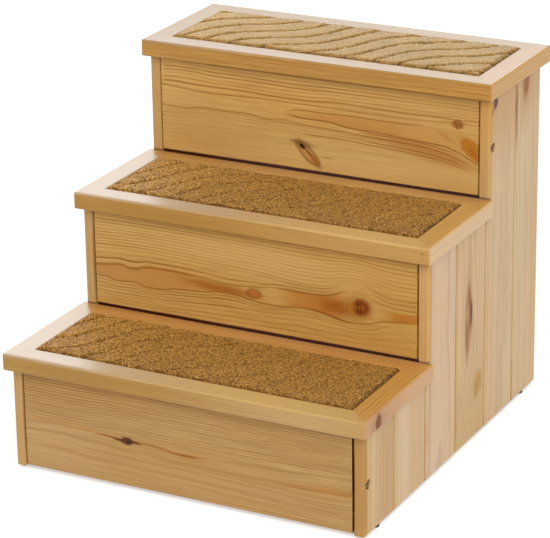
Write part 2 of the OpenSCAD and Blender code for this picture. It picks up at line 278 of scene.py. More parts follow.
def colour(values):
    """RGBA of a colour."""
    return (*values[:3], 1.0)


def mesh_object(name, shape, material):
    """Object of a bmesh, which is freed."""
    mesh = bpy.data.meshes.new(name)
    shape.to_mesh(mesh)
    shape.free()
    mesh.materials.append(material)
    made = bpy.data.objects.new(name, mesh)
    bpy.context.scene.collection.objects.link(made)
    return made


# Pine

# How often the noise on the wood changes along the grain, across the face and into it, per metre
SLOW_BENDS = (3.2, 10, 10)
QUICK_BENDS = (22, 80, 80)
LINE_BENDS = ((5, 22, 22), (26, 110, 110))
CONTRAST_PATCHES = (5, 16, 16)
TINT_PATCHES = (2.5, 14, 14)
FIBRES = (26, 900, 900)
BANDS = (9, 260, 260)
DUCTS = (60, 1500, 1500)
RAGGED_EDGE = {"knot": (260, 260, 260), "streak": (60, 420, 420)}

# Furthest that the quick noise moves a ring
QUICK_WANDER = 2.6 * MM

# Within one ring: where the dark late wood starts to grow and where it is full, and how sharply it grows
LATE_START, LATE_FULL, LATE_POWER = 0.25, 0.93, 2.4

# Strength of the dark wood from the weakest ring to the strongest, and from patch to patch as its
# noise goes over a span
RING_STRENGTHS = (0.45, 1.15)
PATCH_SPAN, PATCH_STRENGTHS = (0.25, 0.75), (0.55, 1.15)

# Noise over which a resin duct appears, and its strength
DUCT_SPAN, DUCT_STRENGTH = (0.70, 0.80), 0.3

# How far the dark wood and the fibres stand up in the fine relief
RING_RELIEF, FIBRE_RELIEF = 0.6, 0.35

# Shares of the pale wood's colour: in its warmer patches, between and on its fibres and broader bands
WARM_SHADE = (1.0, 0.91, 0.74, 1)
FIBRE_SHADES = (0.86, 0.83, 0.78, 1), (1.07, 1.07, 1.07, 1)
BAND_SHADES = (0.93, 0.91, 0.88, 1), (1.04, 1.04, 1.04, 1)

# Part of a normal along the grain from which a face counts as cut across, and part upwards from which
# it counts as lying flat, each growing to the full; and the slant of a view that makes varnish shine
CUT_SPAN = (0.8, 0.98)
LYING_SPAN = (0.4, 0.95)
SLANT_SPAN = (0.5, 0.62)

# Roughness of the wood between its fibres and on them
WOOD_ROUGHNESS = (0.44, 0.52)

# Shares of a spot's size: where varnish comes back round a bare one, and where a knot's rim starts
BARE_SPAN = (0.7, 1.1)
RIM_START = 0.62

# Shares of a knot's colour in its pale rings and in its rim
KNOT_PALE, KNOT_RIM = 1.7, 0.55

# Shares of a line's half width up to which it is full and at which it is gone
LINE_SPAN = (0.2, 1.4)

# How much the noise moves on for each step of a board's seed
SEED_DRIFT = (1.37, 0.71, 2.13)

# Half the length that guide lines cover, in millimetres
REACH = 200

# Order of the row's axes that gives a place along the grain, across the face and into the board
FRONT_X = (0, 2, 1)
TOP_X = (0, 1, 2)
TOP_Y = (1, 0, 2)
SIDE_Z = (2, 1, 0)


def growth_rings(name):
    """Group that counts the rings from the middle of the log to a place in the board. A place is along
    the grain, across the board's face and into the board."""
    tree, given, result = new_group(name, {
        "Place": "Vector", "Pith": "Vector", "Slope": "Vector", "Ring width": "Float", "Wander": "Float",
        "Seed": "Vector",
    }, {"Rings": "Float"})
    seeded = vector_calc(tree, "ADD", given["Place"], given["Seed"])
    offset = vector_calc(tree, "SUBTRACT", given["Place"], given["Pith"])
    for moved in (scaled(tree, given["Slope"], split(tree, given["Place"])[0]),
                  stray(tree, seeded, SLOW_BENDS, given["Wander"]),
                  stray(tree, seeded, QUICK_BENDS, QUICK_WANDER)):
        offset = vector_calc(tree, "ADD", offset, moved)
    radius = vector_calc(tree, "LENGTH", vector_calc(tree, "MULTIPLY", offset, (0, 1, 1)))
    tree.links.new(calc(tree, "DIVIDE", radius, given["Ring width"]), result["Rings"])
    return tree


def ragged_spot(name):
    """Group that says how far a place is from a spot's middle: 0 there and 1 at its ragged edge."""
    tree, given, result = new_group(name, {
        "Place": "Vector", "Middle": "Vector", "Size": "Vector", "Turn": "Float", "Ragged": "Float",
        "Stretch": "Vector",
    }, {"Distance": "Float"})
    turned = add_node(tree, "ShaderNodeVectorRotate", {
        "Vector": vector_calc(tree, "SUBTRACT", given["Place"], given["Middle"]),
        "Axis": (0, 0, 1), "Angle": given["Turn"],
    }).outputs[0]
    rough = stray(tree, given["Place"], given["Stretch"], given["Ragged"], 3.0)
    spread = vector_calc(tree, "ADD", vector_calc(tree, "DIVIDE", turned, given["Size"]), rough)
    tree.links.new(vector_calc(tree, "LENGTH", spread), result["Distance"])
    return tree


def timber(name):
    """Group for the colour, height and fibre streaks of pine, from its rings and its place."""
    tree, given, result = new_group(name, {
        "Place": "Vector", "Seed": "Vector", "Rings": "Float", "Pale": "Color", "Dark": "Color",
        "Contrast": "Float", "Fibre": "Float",
    }, {"Colour": "Color", "Height": "Float", "Streak": "Float"})
    seeded = vector_calc(tree, "ADD", given["Place"], given["Seed"])
    part = calc(tree, "FRACT", given["Rings"])
    whole = calc(tree, "FLOOR", given["Rings"])
    each = add_node(tree, "ShaderNodeTexWhiteNoise", {"W": whole}, noise_dimensions="1D").outputs["Value"]
    patch = stretched_noise(tree, seeded, CONTRAST_PATCHES)["Fac"]
    late = product(
        tree, calc(tree, "POWER", steps(tree, part, LATE_START, LATE_FULL), LATE_POWER),
        steps(tree, part, LATE_FULL, 1.0, 1.0, 0.0), steps(tree, each, 0.0, 1.0, *RING_STRENGTHS),
        steps(tree, patch, *PATCH_SPAN, *PATCH_STRENGTHS))
    late = calc(tree, "MULTIPLY", late, given["Contrast"], clamp=True)
    tint = stretched_noise(tree, seeded, TINT_PATCHES, 1.0)["Fac"]
    warm = blend_colour(tree, 1.0, given["Pale"], WARM_SHADE, "MULTIPLY")
    pale = blend_colour(tree, steps(tree, tint, *NOISE_SPAN), given["Pale"], warm)
    fibre = steps(tree, stretched_noise(tree, seeded, FIBRES, 3.0, 0.6)["Fac"], *NOISE_SPAN)
    band = steps(tree, stretched_noise(tree, seeded, BANDS)["Fac"], *NOISE_SPAN)
    wood = shaded(tree, blend_colour(tree, late, pale, given["Dark"]), given["Fibre"], fibre, *FIBRE_SHADES)
    wood = shaded(tree, wood, given["Fibre"], band, *BAND_SHADES)
    duct = steps(tree, stretched_noise(tree, seeded, DUCTS, 1.0)["Fac"], *DUCT_SPAN, 0, DUCT_STRENGTH)
    height = calc(tree, "ADD", product(tree, late, RING_RELIEF), product(tree, fibre, FIBRE_RELIEF))
    for key, value in (("Colour", blend_colour(tree, duct, wood, given["Dark"])), ("Height", height),
                       ("Streak", fibre)):
        tree.links.new(value, result[key])
    return tree


def curve_height(tree, share, line):
    """Height in metres of a line at a share of the way along a piece. The line is one height, or else
    the places along and across that it runs through, in millimetres."""
    if isinstance(line, (int, float)):
        return line * MM
    low, high = min(z for _, z in line), max(z for _, z in line) + 0.01
    made = add_node(tree, "ShaderNodeFloatCurve", {"Value": share})
    bends = made.mapping.curves[0].points
    spots = [((x + REACH) / (2 * REACH), (z - low) / (high - low)) for x, z in line]
    bends[0].location, bends[1].location = spots[0], spots[-1]
    for x, z in spots[1:-1]:
        bends.new(x, z)
    made.mapping.update()
    return calc(tree, "MULTIPLY_ADD", made.outputs[0], (high - low) * MM, low * MM)


def guided_rings(tree, share, across, guides):
    """Number of growth rings, from guide lines that each hold one count, from the top edge down."""
    counts = [count for count, _ in guides]
    heights = [curve_height(tree, share, line) for _, line in guides]
    total = counts[0]
    for i in range(1, len(guides)):
        part = steps(tree, across, heights[i - 1], heights[i], 0.0, counts[i] - counts[i - 1], "LINEAR")
        total = calc(tree, "ADD", part, total)
    return total


def count_at(guides, x, z):
    """Number of growth rings at a place, as guided_rings gives it."""
    heights = []
    for count, line in guides:
        if isinstance(line, (int, float)):
            heights.append(line)
            continue
        after = next((i for i, p in enumerate(line) if p[0] >= x), len(line) - 1)
        (x0, z0), (x1, z1) = line[max(after - 1, 0)], line[after]
        heights.append(z0 + (z1 - z0) * min(1, max(0, (x - x0) / max(x1 - x0, 1))))
    for i in range(1, len(guides)):
        if z >= heights[i]:
            way = (heights[i - 1] - z) / (heights[i - 1] - heights[i])
            return guides[i - 1][0] + way * (guides[i][0] - guides[i - 1][0])
    return guides[-1][0]


def pull_rings(tree, count, distance, mark, held):
    """Count of the rings, drawn to the held count near a knot."""
    reach = calc(tree, "DIVIDE", distance, mark["reach"])
    near = calc(tree, "EXPONENT", product(tree, reach, reach, -1.0))
    gap = calc(tree, "SUBTRACT", held + mark["lift"], count)
    return calc(tree, "ADD", count, product(tree, gap, product(tree, near, mark["pull"])))


def pine(name, axes, pith=(0, 0), slope=(0, 0), ring=2.8, wander=7, contrast=0.5, pale=None, seed=0,
         marks=(), tone=(1, 1, 1), calm=None, guides=None, fade=None, end_grain_and_gap_shading=(0.30, 0.20, 0.14), fibre=1):
    """Varnished pine. Axes orders the row's axes as along, across and deep; pith is the log's middle
    across and deep, slope is its lean per length along. Lengths are in millimetres. Marks are knots,
    streaks, lines and flames, worked in order. Tone is the share of the pale colour, fibre how strongly
    the fibres show. Where a board is cut across its colour takes a further share: darker end grain, and
    on the risers' end faces, seen only in the gaps beside them, painted shade on the first riser and
    painted light on the others. Calm holds two places across, and the share of the rings' contrast below
    the first that grows to all of it at the second. Guides are lines that the rings follow in place of a
    pith, each with its count. Fade, for a piece without calm, holds two counts, and the share of the
    contrast that is left beyond the second."""
    look = bpy.context.scene.stairs_pine
    pale = [a * b for a, b in zip(pale or look.front_colour, tone)]
    made = bpy.data.materials.new(name)
    tree = emptied(made)
    parts = split(tree, object_place(tree))
    along, across = parts[axes[0]], parts[axes[1]]
    place = add_node(tree, "ShaderNodeCombineXYZ", {i: parts[a] for i, a in enumerate(axes)}).outputs[0]
    drift = [seed * step for step in SEED_DRIFT]
    seeded = vector_calc(tree, "ADD", place, drift)
    share = calc(tree, "MULTIPLY_ADD", along, 1 / (2 * REACH * MM), 0.5)
    level = across
    for amount, bends in zip((wander, wander / 3), LINE_BENDS):
        free = calc(tree, "SUBTRACT", stretched_noise(tree, seeded, bends)["Fac"], 0.5)
        level = calc(tree, "ADD", level, product(tree, free, amount * MM))
    if guides:
        count = guided_rings(tree, share, level, guides)
    else:
        count = use_group(tree, "Growth rings", growth_rings, {
            "Place": place, "Pith": (0, pith[0] * MM, pith[1] * MM), "Slope": (0, *slope),
            "Ring width": ring * MM, "Wander": wander * MM, "Seed": drift,
        })["Rings"]
    drawn = []
    for mark in marks:
        distance = None
        if "at" in mark:
            distance = use_group(tree, "Spot", ragged_spot, {
                "Place": place, "Middle": [v * MM for v in mark["at"]],
                "Size": [v * MM for v in mark["size"]], "Turn": math.radians(-mark["turn"]),
                "Ragged": mark["ragged"], "Stretch": RAGGED_EDGE[mark["kind"]],
            })["Distance"]
        if mark.get("pull"):
            x, z, deep = mark["at"]
            from_pith = math.hypot(z - pith[0] + slope[0] * x, deep - pith[1] + slope[1] * x)
            held = count_at(guides, x, z) if guides else from_pith / ring
            count = pull_rings(tree, count, distance, mark, held)
        drawn.append((mark, distance))
    if calm:
        lower, upper, left = calm
        contrast = steps(tree, across, lower * MM, upper * MM, left * contrast, contrast)
    elif fade:
        first, last, left = fade
        contrast = steps(tree, count, first, last, contrast, contrast * left)
    sawn = use_group(tree, "Timber", timber, {
        "Place": place, "Seed": drift, "Rings": count, "Pale": colour(pale),
        "Dark": colour(look.ring_colour), "Contrast": contrast, "Fibre": fibre,
    })
    normal = split(tree, add_node(tree, "ShaderNodeNewGeometry").outputs["Normal"])
    cut = steps(tree, calc(tree, "ABSOLUTE", normal[axes[0]]), *CUT_SPAN)
    wood = blend_colour(tree, cut, sawn["Colour"], blend_colour(
        tree, 1.0, sawn["Colour"], colour(end_grain_and_gap_shading), "MULTIPLY"))
    slant = steps(tree, add_node(tree, "ShaderNodeLayerWeight").outputs["Facing"], *SLANT_SPAN)
    lying = steps(tree, normal[2], *LYING_SPAN, look.wall_varnish, look.edge_varnish)
    gloss = calc(tree, "ADD", product(tree, slant, lying), look.face_varnish)
    for mark, distance in drawn:
        if distance is None:
            wood = draw_mark(tree, wood, mark, along, share, level)
            continue
        wood = paint_mark(tree, wood, mark, distance)
        if mark["bare"]:
            gloss = product(tree, gloss, steps(tree, distance, *BARE_SPAN))
    show_surface(tree, add_node(tree, "ShaderNodeBsdfPrincipled", {
        "Base Color": wood, "Roughness": steps(tree, sawn["Streak"], 0, 1, *WOOD_ROUGHNESS),
        "Specular IOR Level": 0.12, "Coat Weight": gloss, "Coat Roughness": look.gloss_roughness,
        "Coat IOR": 1.7, "Normal": add_node(tree, "ShaderNodeBump", {
            "Height": sawn["Height"], "Strength": 0.35, "Distance": 0.06 * MM,
        }).outputs[0],
    }))
    return made


def draw_mark(tree, wood, mark, along, share, across):
    """Wood with a line along the grain, or with a flame between two such lines."""
    first, last, ease = (mark[key] * MM for key in ("first", "last", "ease"))
    if mark["kind"] == "line":
        half = mark["half"] * MM
        gap = calc(tree, "ABSOLUTE", calc(tree, "SUBTRACT", across, curve_height(tree, share, mark["path"])))
        near = steps(tree, gap, half * LINE_SPAN[0], half * LINE_SPAN[1], 1.0, 0.0)
    else:
        top, bottom = (curve_height(tree, share, mark[key]) for key in ("top", "bottom"))
        soft = mark["soft"] * MM
        near = product(
            tree, steps(tree, calc(tree, "SUBTRACT", top, across), -soft, soft),
            steps(tree, calc(tree, "SUBTRACT", across, bottom), -soft, soft),
            steps(tree, across, top, bottom, mark["top_share"], 1.0, "LINEAR"))
    started = steps(tree, along, first, first + ease)
    ended = steps(tree, along, last - ease, last, 1.0, 0.0)
    cover = product(tree, started, ended, near, mark["strength"])
    return blend_colour(tree, cover, wood, colour(mark["tint"]))


def paint_mark(tree, wood, mark, distance):
    """Wood with a spot on it: a knot with rings of its own, or a plain streak."""
    soft, tint = mark["soft"], Vector(mark["tint"])
    inner = colour(tint)
    if mark["kind"] == "knot":
        wave = calc(tree, "SINE", product(tree, distance, mark["turns"] * math.tau))
        inner = blend_colour(tree, steps(tree, wave, -1, 1), inner, colour(tint * KNOT_PALE))
        rim = steps(tree, distance, RIM_START, 1.0, 0, mark["rim"])
        inner = blend_colour(tree, rim, inner, colour(tint * KNOT_RIM))
    cover = steps(tree, distance, 1 + soft, 1 - soft, 0, mark["strength"])
    return blend_colour(tree, cover, wood, inner)


def give(node, material):
    """The CAD node shows this material all over."""
    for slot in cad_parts[node].material_slots:
        slot.material = material


# Marks on the wood. Places and sizes run along the grain, across the face and into it, in millimetres

def streak(along, across, half_length, half_width, tint, strength=0.7, soft=0.7, ragged=0.6, turn=0, depth=0,
           deep=1000, bare=False):
    """Streak of plain colour. Soft is the share of its size over which it fades, turn its angle to the
    grain in degrees, deep half its size into the wood; a bare one has no varnish."""
    return dict(kind="streak", at=(along, across, depth), size=(half_length, half_width, deep), tint=tint,
                strength=strength, soft=soft, ragged=ragged, turn=turn, bare=bare)


def knot(along, across, half_length, half_width, tint, strength=0.85, turns=3, reach=2, soft=0.3, ragged=0.25,
         pull=0.9, lift=0, rim=0.5, **more):
    """Knot with so many turns of dark and pale rings in it and a dark rim. It pulls the board's rings to
    the count at its middle plus lift, as far round it as reach times its size."""
    spot = streak(along, across, half_length, half_width, tint, strength, soft, ragged, **more)
    return {**spot, "kind": "knot", "turns": turns, "reach": reach, "pull": pull, "lift": lift, "rim": rim}


def line(path, by, half, tint, strength, first, last, ease=12):
    """Line along a path moved across the grain, from first to last, and fading over ease at both ends.
    Half is half its width."""
    return dict(kind="line", path=shifted(path, by), half=half, tint=tint, strength=strength, first=first,
                last=last, ease=ease)


def flame(top, bottom, tint, strength, first, last, ease=12, top_share=0.6, soft=0.7):
    """Colour between two paths, with top_share of its strength at the top one; soft is the blur of its
    edges, and it fades along the grain as a line does."""
    return dict(kind="flame", top=top, bottom=bottom, tint=tint, strength=strength, first=first, last=last,
                ease=ease, top_share=top_share, soft=soft)


def shifted(path, by):
    """The path moved across the grain."""
    return [(x, z + by) for x, z in path]


def gap_shade_line(z):
    """Painted shade along the lower edge of a riser, over its gap."""
    return line([(-REACH, z), (REACH, z)], 0, 0.9, (0.10, 0.015, 0.004), 0.9, -220, 220)


def gap_shade_streak(along, across, half_length, half_width, depth, deep, strength=0.96):
    """Painted shade in a joint, on the face that the joint hides at this depth."""
    return streak(along, across, half_length, half_width, (0.07, 0.006, 0.001), strength, 0.5, 0,
                  depth=depth, deep=deep, bare=True)


def front_edge(along, across, tint, strength):
    """Deeper colour on the rounded front edge of a side board."""
    return streak(along, across, 75, 4.5, tint, strength, 0.5, 0.1)


def reflection_streak(along, across, half_length, half_width, top):
    """Paler streak on the top of a rail: a painted reflection."""
    return streak(along, across, half_length, half_width, (0.79, 0.68, 0.56), 0.6, 0.9, 0.2, depth=top + 1,
                  deep=2.6)


def outer_face_and_highlight(side, y, tint, strength):
    """Paler wood on the outer face of a side rail, whose middle is at y, and a painted highlight along its
    upper edge.
    """
    x = {"left": -201, "right": 201}[side]
    return streak(y, x, 130, 3.4, tint, strength, 0.3, 0.04)


def groove(y):
    """Darker groove between two side boards."""
    return streak(188, y, 400, 1.5, (0.42, 0.245, 0.095), 0.75, 0.5, 0.1)


# Colours of marks
ORANGE = (0.46, 0.185, 0.035)
TAN = (0.50, 0.235, 0.055)
CRACK = (0.028, 0.007, 0.003)
SPLIT = (0.10, 0.022, 0.010)
FLAME_TAN = (0.54, 0.262, 0.055)
RING_LINE = (0.33, 0.130, 0.021)
GOLD = (0.46, 0.25, 0.065)
ROSE = (0.40, 0.15, 0.055)
BAND_TAN = (0.41, 0.19, 0.058)
GRAIN_PALE = (0.44, 0.26, 0.11)
GRAIN_MID = (0.44, 0.25, 0.10)
GRAIN_DEEP = (0.44, 0.24, 0.09)
# Paler outer face of a side rail, with a painted highlight on its upper edge
EDGE_PALE_HIGHLIGHT = (0.76, 0.56, 0.33)
KNOT_TAIL = (0.11, 0.024, 0.007)
KNOT_LINE = (0.12, 0.034, 0.005)
KNOT_BROWN = (0.34, 0.14, 0.05)
RED_BROWN = (0.30, 0.10, 0.035)
INNER_KNOT = (0.28, 0.09, 0.02)

# Main lines of the grain on each riser, through places X and Z
UPPER_1 = [(-184, 61.8), (-136, 60.2), (-111, 60.8), (-70, 63.2), (-30, 60.5), (17, 62.4), (64, 62.5),
           (126, 63.6), (182, 65)]
DARK_1 = [(-184, 52), (-145, 56), (-105, 55.4), (-79, 54.6), (-65, 53.5), (-54, 54.5), (-22, 52.7),
          (-6, 51), (5, 51.1), (20, 51.7), (79, 54), (141, 57), (182, 60)]
LOWER_1 = [(-185, 38), (-145, 38.6), (-112, 35.8), (-63, 35.3), (-16, 34.8), (32, 33.4), (102, 31),
           (125, 30), (182, 32.8)]
UPPER_2 = [(-182, 190.6), (-151, 192.7), (-126, 193.6), (-92, 192.9), (-43, 190.8), (-1, 189.7),
           (31, 187.3), (55, 185), (79, 186), (94, 189), (110, 192), (120, 191.7), (132, 188),
           (149, 181.8), (165, 179.3), (182, 179.6)]
BAND_TOP_2 = [(-183, 172.3), (-164, 174.7), (-152, 176), (-142, 173.8), (-130, 175.2), (-118, 178.2),
              (-86, 178.3), (-56, 176.5), (-11, 173.8), (3, 174.6), (15, 177), (31, 179.8), (63, 179.5),
              (79, 180.3), (94, 184.3), (110, 187.6), (120, 186.7), (132, 182.7), (149, 176.5),
              (165, 174.6), (182, 175.8)]
BAND_FOOT_2 = [(-183, 160.4), (-170, 160), (-156, 157.6), (-138, 159), (-124, 155.8), (-110, 155.6),
               (-94, 158.4), (-52, 162), (-27, 165.3), (-2, 162), (30, 159.8), (63, 162.6), (75, 161.8),
               (97, 157.6), (110, 156.2), (123, 156.8), (135, 159.7), (149, 163.3), (182, 166)]
LOWER_2 = [(-183, 144.4), (-111, 144.5), (-44, 148.6), (-2, 150.2), (30, 151.1), (54, 153.4), (75, 152.5),
           (94, 151.2), (116, 152.2), (135, 155.2), (157, 159.6), (182, 162)]
TOP_3 = [(-180, 337), (-150, 339.5), (-120, 337), (-60, 336.5), (-28, 335.8), (17, 337.8), (71, 338.3),
         (123, 338.3), (180, 337.7)]
STRONG_3 = [(-183, 328.8), (-169, 330.4), (-138, 329.2), (-97, 329.8), (-50, 328.6), (-20, 328.4),
            (35, 331), (71, 330), (123, 330.2), (180, 331)]
OVER_3 = [(-180, 324.8), (-152, 322.8), (-133, 321.4), (-94, 322.4), (-50, 323.7), (19, 323.5),
          (85, 323.1), (139, 325), (180, 326)]
FLAME_TOP_3 = [(-38, 313.4), (-27, 316.6), (-12, 318.2), (10, 318.2), (35, 318.9), (85, 318.6),
               (131, 319.4), (182, 318)]
FLAME_FOOT_3 = [(-38, 313), (-27, 310.4), (-12, 309.4), (14, 309.2), (35, 306.3), (75, 304.5),
                (120, 302.2), (139, 301.2), (155, 297.9), (168, 292.8), (182, 286)]
UNDER_3 = [(-180, 302.6), (-156, 301.8), (-133, 304.9), (-108, 304.4), (-80, 305), (-60, 302.2),
           (-20, 301.5), (15, 300.8), (59, 298.6), (108, 297.2), (144, 293), (163, 287.4), (182, 279)]
LAST_3 = [(-181, 290), (-149, 293.4), (-120, 296.3), (-71, 295.4), (-30, 291.6), (18, 292.2), (67, 290.4),
          (116, 287.6), (147, 283.9), (166, 279.4), (182, 273)]

# Grain of each riser: guides hold the count of rings on each main line, from the top edge down
RISER_GRAIN = {
    1: dict(
        guides=((0, 109), (16, UPPER_1), (16.4, shifted(DARK_1, 2.4)), (17, DARK_1),
                (17.15, shifted(DARK_1, -2)), (18.4, shifted(LOWER_1, 3)), (19, LOWER_1), (27, 5)),
        # Its end faces in the gaps beside it carry painted shade
        wander=3, contrast=0.76, seed=3, tone=(0.81, 0.81, 1), end_grain_and_gap_shading=(0.2, 0.05, 0.02), marks=(
        streak(0, 26, 130, 20, (0.57, 0.37, 0.16), 0.45, 0.9),
        streak(-160, 30, 60, 26, (0.6, 0.4, 0.2), 0.4, 0.9),
        flame(UPPER_1, DARK_1, (0.47, 0.22, 0.05), 0.7, -200, -80, 40, 0.5, 1.5),
        line(DARK_1, 0, 2.2, TAN, 0.6, -112, 30, 20),
        line(LOWER_1, 6, 3, BAND_TAN, 0.5, -60, 210, 60),
        line(LOWER_1, 0.5, 1.5, (0.4, 0.18, 0.055), 0.5, -150, 210, 60),
        line(LOWER_1, -8, 2.6, BAND_TAN, 0.5, -200, 210, 60),
        line(LOWER_1, -15, 2, (0.42, 0.2, 0.062), 0.4, -120, 150, 60),
        line(DARK_1, 0, 0.9, (0.17, 0.045, 0.009), 0.9, -104, -52, 14),
        line(DARK_1, 0, 1.6, (0.28, 0.1, 0.016), 0.6, -66, 26, 20),
        line(DARK_1, 0, 1.2, (0.2, 0.045, 0.008), 0.8, -14, 20, 14),
        streak(6, 49, 14, 3.4, ORANGE, 0.4, 0.8, 0.9, -6),
        streak(158, 44, 34, 3.6, TAN, 0.55, 0.8, 1.2),
        knot(-64.5, 53.6, 7.4, 4.3, (0.085, 0.016, 0.006), 0.95, 1.2, 2, 0.25, 0.5, depth=-216),
        streak(-74, 53.4, 6, 1.5, KNOT_TAIL, 0.9, 0.6, 0.5, -4),
        streak(-55, 53.6, 6, 1.5, KNOT_TAIL, 0.9, 0.6, 0.5, -6),
        streak(-63, 53.4, 3.2, 1.4, (0.02, 0.005, 0.002), 0.9, 0.6, 0.5),
    )),
    2: dict(
        guides=((0, 233), (12, UPPER_2), (15, BAND_TOP_2), (15.12, shifted(BAND_TOP_2, -2)),
                (15.4, shifted(BAND_FOOT_2, 2.2)), (16, BAND_FOOT_2), (20, LOWER_2), (24, 129)),
        # Its end faces in the gaps beside it carry painted light
        wander=2.4, contrast=0.95, seed=11, tone=(1, 1.03, 1), end_grain_and_gap_shading=(1.1, 0.9, 0.6), marks=(
        streak(160, 165, 80, 70, (0.52, 0.275, 0.055), 0.4, 0.9),
        streak(10, 208, 110, 16, (0.68, 0.44, 0.16), 0.45, 0.9),
        # Painted shade along the lower edge, over the gap beneath this riser
        gap_shade_line(129.6),
        flame(BAND_TOP_2, BAND_FOOT_2, ORANGE, 0.55, -220, 16, 50, 1, 1),
        flame(BAND_TOP_2, BAND_FOOT_2, (0.47, 0.16, 0.014), 0.78, 22, 114, 34, 0.9, 1),
        flame(BAND_TOP_2, BAND_FOOT_2, (0.44, 0.15, 0.012), 0.85, 136, 230, 30, 0.9, 1),
        streak(97, 170.5, 22, 8.5, (0.33, 0.08, 0.002), 0.85, 0.8, turn=-6),
        line(BAND_TOP_2, 0, 1.5, (0.36, 0.12, 0.018), 0.85, -220, -50, 30),
        line(BAND_TOP_2, 0, 1.2, (0.3, 0.105, 0.018), 0.9, 20, 112, 20),
        line(BAND_TOP_2, 4, 0.8, RING_LINE, 0.75, 0, 104, 24),
        line(BAND_FOOT_2, 0, 0.9, RING_LINE, 0.7, -190, 190, 24),
        line(BAND_FOOT_2, 0, 1.3, (0.25, 0.075, 0.01), 0.8, 52, 118, 24),
        line(BAND_TOP_2, 7.6, 0.8, RING_LINE, 0.65, 20, 108, 24),
        line(BAND_TOP_2, 3.6, 0.8, RING_LINE, 0.8, 128, 200, 14),
        line(BAND_TOP_2, 8.4, 0.8, RING_LINE, 0.75, 130, 200, 14),
        line(BAND_TOP_2, 13, 0.8, RING_LINE, 0.7, 120, 200, 20),
        streak(-36, 168.5, 38, 4.2, (0.36, 0.115, 0.01), 0.85, turn=-3),
        knot(2, 169.2, 9, 5.4, (0.27, 0.078, 0.012), 0.85, 0.8, 1.7, 0.45, depth=-69, rim=0.2),
        knot(119.5, 173.4, 16.5, 14.2, (0.31, 0.12, 0.022), 0.5, 3.5, 1.15, 0.25, 0.15, depth=-69,
             rim=0.2),
        knot(121.3, 174, 10.2, 9.2, (0.19, 0.04, 0.002), 0.94, 1.3, 2, 0.22, 0.3, pull=0, rim=0.25,
             bare=True),
        streak(118, 173.4, 1, 4.6, (0.06, 0.013, 0.002), 0.7, 0.8, 1.2),
        streak(112, 173.6, 4.5, 4, (0.4, 0.155, 0.01), 0.55, 0.8, 0.8),
        streak(121.4, 171.5, 0.9, 3.6, (0.045, 0.01, 0.003), 0.7, 0.8, 1.2),
        streak(119.5, 177, 2.6, 0.8, (0.05, 0.012, 0.004), 0.7, 0.8, 1.2),
    )),
    3: dict(
        guides=((0, 357), (5, TOP_3), (7, STRONG_3), (8, OVER_3), (8.12, shifted(OVER_3, -2)),
                (8.4, shifted(UNDER_3, 3.4)), (9, UNDER_3), (12, LAST_3), (20, 253)),
        wander=1.6, contrast=0.8, seed=23, tone=(1.04, 1.07, 1.12), fade=(12.1, 12.6, 0.35),
        # Its end faces in the gaps beside it carry painted light
        end_grain_and_gap_shading=(1.5, 1.3, 1.05), marks=(
        streak(170, 300, 90, 70, (0.5, 0.27, 0.075), 0.45, 0.9),
        streak(60, 268, 120, 14, (0.72, 0.48, 0.175), 0.5, 0.9),
        # Painted shade along the lower edge, over the gap beneath this riser
        gap_shade_line(253.6),
        streak(-150, 290, 70, 26, (0.53, 0.3, 0.08), 0.5, 0.9),
        flame(FLAME_TOP_3, FLAME_FOOT_3, FLAME_TAN, 0.6, -44, 176, 16, 0.75),
        flame(FLAME_TOP_3, FLAME_FOOT_3, (0.48, 0.2, 0.035), 0.4, -20, 110, 30, 0.8),
        line(STRONG_3, 0, 0.9, RING_LINE, 0.65, -190, 190),
        line(FLAME_TOP_3, 0, 0.85, RING_LINE, 0.85, -40, 128, 20),
        line(FLAME_FOOT_3, 0, 1, (0.27, 0.095, 0.016), 0.85, -38, 190, 16),
        line(UNDER_3, 0, 0.9, RING_LINE, 0.5, -190, 176, 20),
        streak(126, 292.5, 50, 7.5, (0.42, 0.16, 0.028), 0.6, 0.7, 0.5, -10),
        line(UNDER_3, 4.2, 0.8, RING_LINE, 0.8, 40, 168, 20),
        line(UNDER_3, 0.6, 0.9, RING_LINE, 0.8, 50, 174, 20),
        line(LAST_3, 3.4, 0.9, RING_LINE, 0.8, 50, 176, 20),
        line(LAST_3, 0, 0.8, RING_LINE, 0.7, -20, 176, 20),
        knot(-9.5, 271.8, 19.5, 7, (0.3, 0.125, 0.03), 0.75, 0.8, 1.3, 0.16, 0.45, turn=-43, depth=78,
             rim=0.55),
        streak(-16, 282, 11, 3.4, (0.21, 0.09, 0.025), 0.7, 0.7, 1.6, -12),
        streak(-16, 278.8, 4.2, 2.2, CRACK, 0.97, 0.4, 0.8, -38),
        streak(-7, 271, 9, 1, (0.07, 0.018, 0.005), 0.85, 0.6, 0.9, -46),
        streak(0, 264.5, 7.5, 3.6, (0.36, 0.13, 0.02), 0.75, turn=-50),
        streak(12, 270.2, 6.5, 0.6, RING_LINE, 0.8, 0.6, 0.5),
        knot(160, 326.2, 6.2, 4.9, (0.23, 0.08, 0.008), 0.85, 2.2, 1.6, 0.25, 0.7, depth=78),
        streak(158.2, 325.4, 0.9, 3, KNOT_LINE, 0.75, 0.7, 1.2, 20),
        streak(162.2, 326, 0.9, 2.8, KNOT_LINE, 0.75, 0.7, 1.2, 20),
        knot(178, 300, 17, 8.6, (0.42, 0.155, 0.01), 0.85, 0.8, 1.8, 0.16, 0.45, turn=-36, depth=78,
             rim=0.3),
        streak(177, 301, 15, 7.2, (0.44, 0.155, 0.008), 0.75, 0.6, 0.5, -36),
        streak(178, 297, 10, 3, (0.33, 0.1, 0.006), 0.6, 0.6, 0.8, -38),
        streak(179, 303, 9, 1.6, (0.31, 0.095, 0.006), 0.55, 0.6, 0.8, -30),
        streak(147, 311, 11, 2.4, ORANGE, 0.5, 0.8, 0.7, -30),
    )),
}

# Y of the joints between the side boards
BOARD_JOINTS = (-151, -77.5, -4, 69.5, 143)

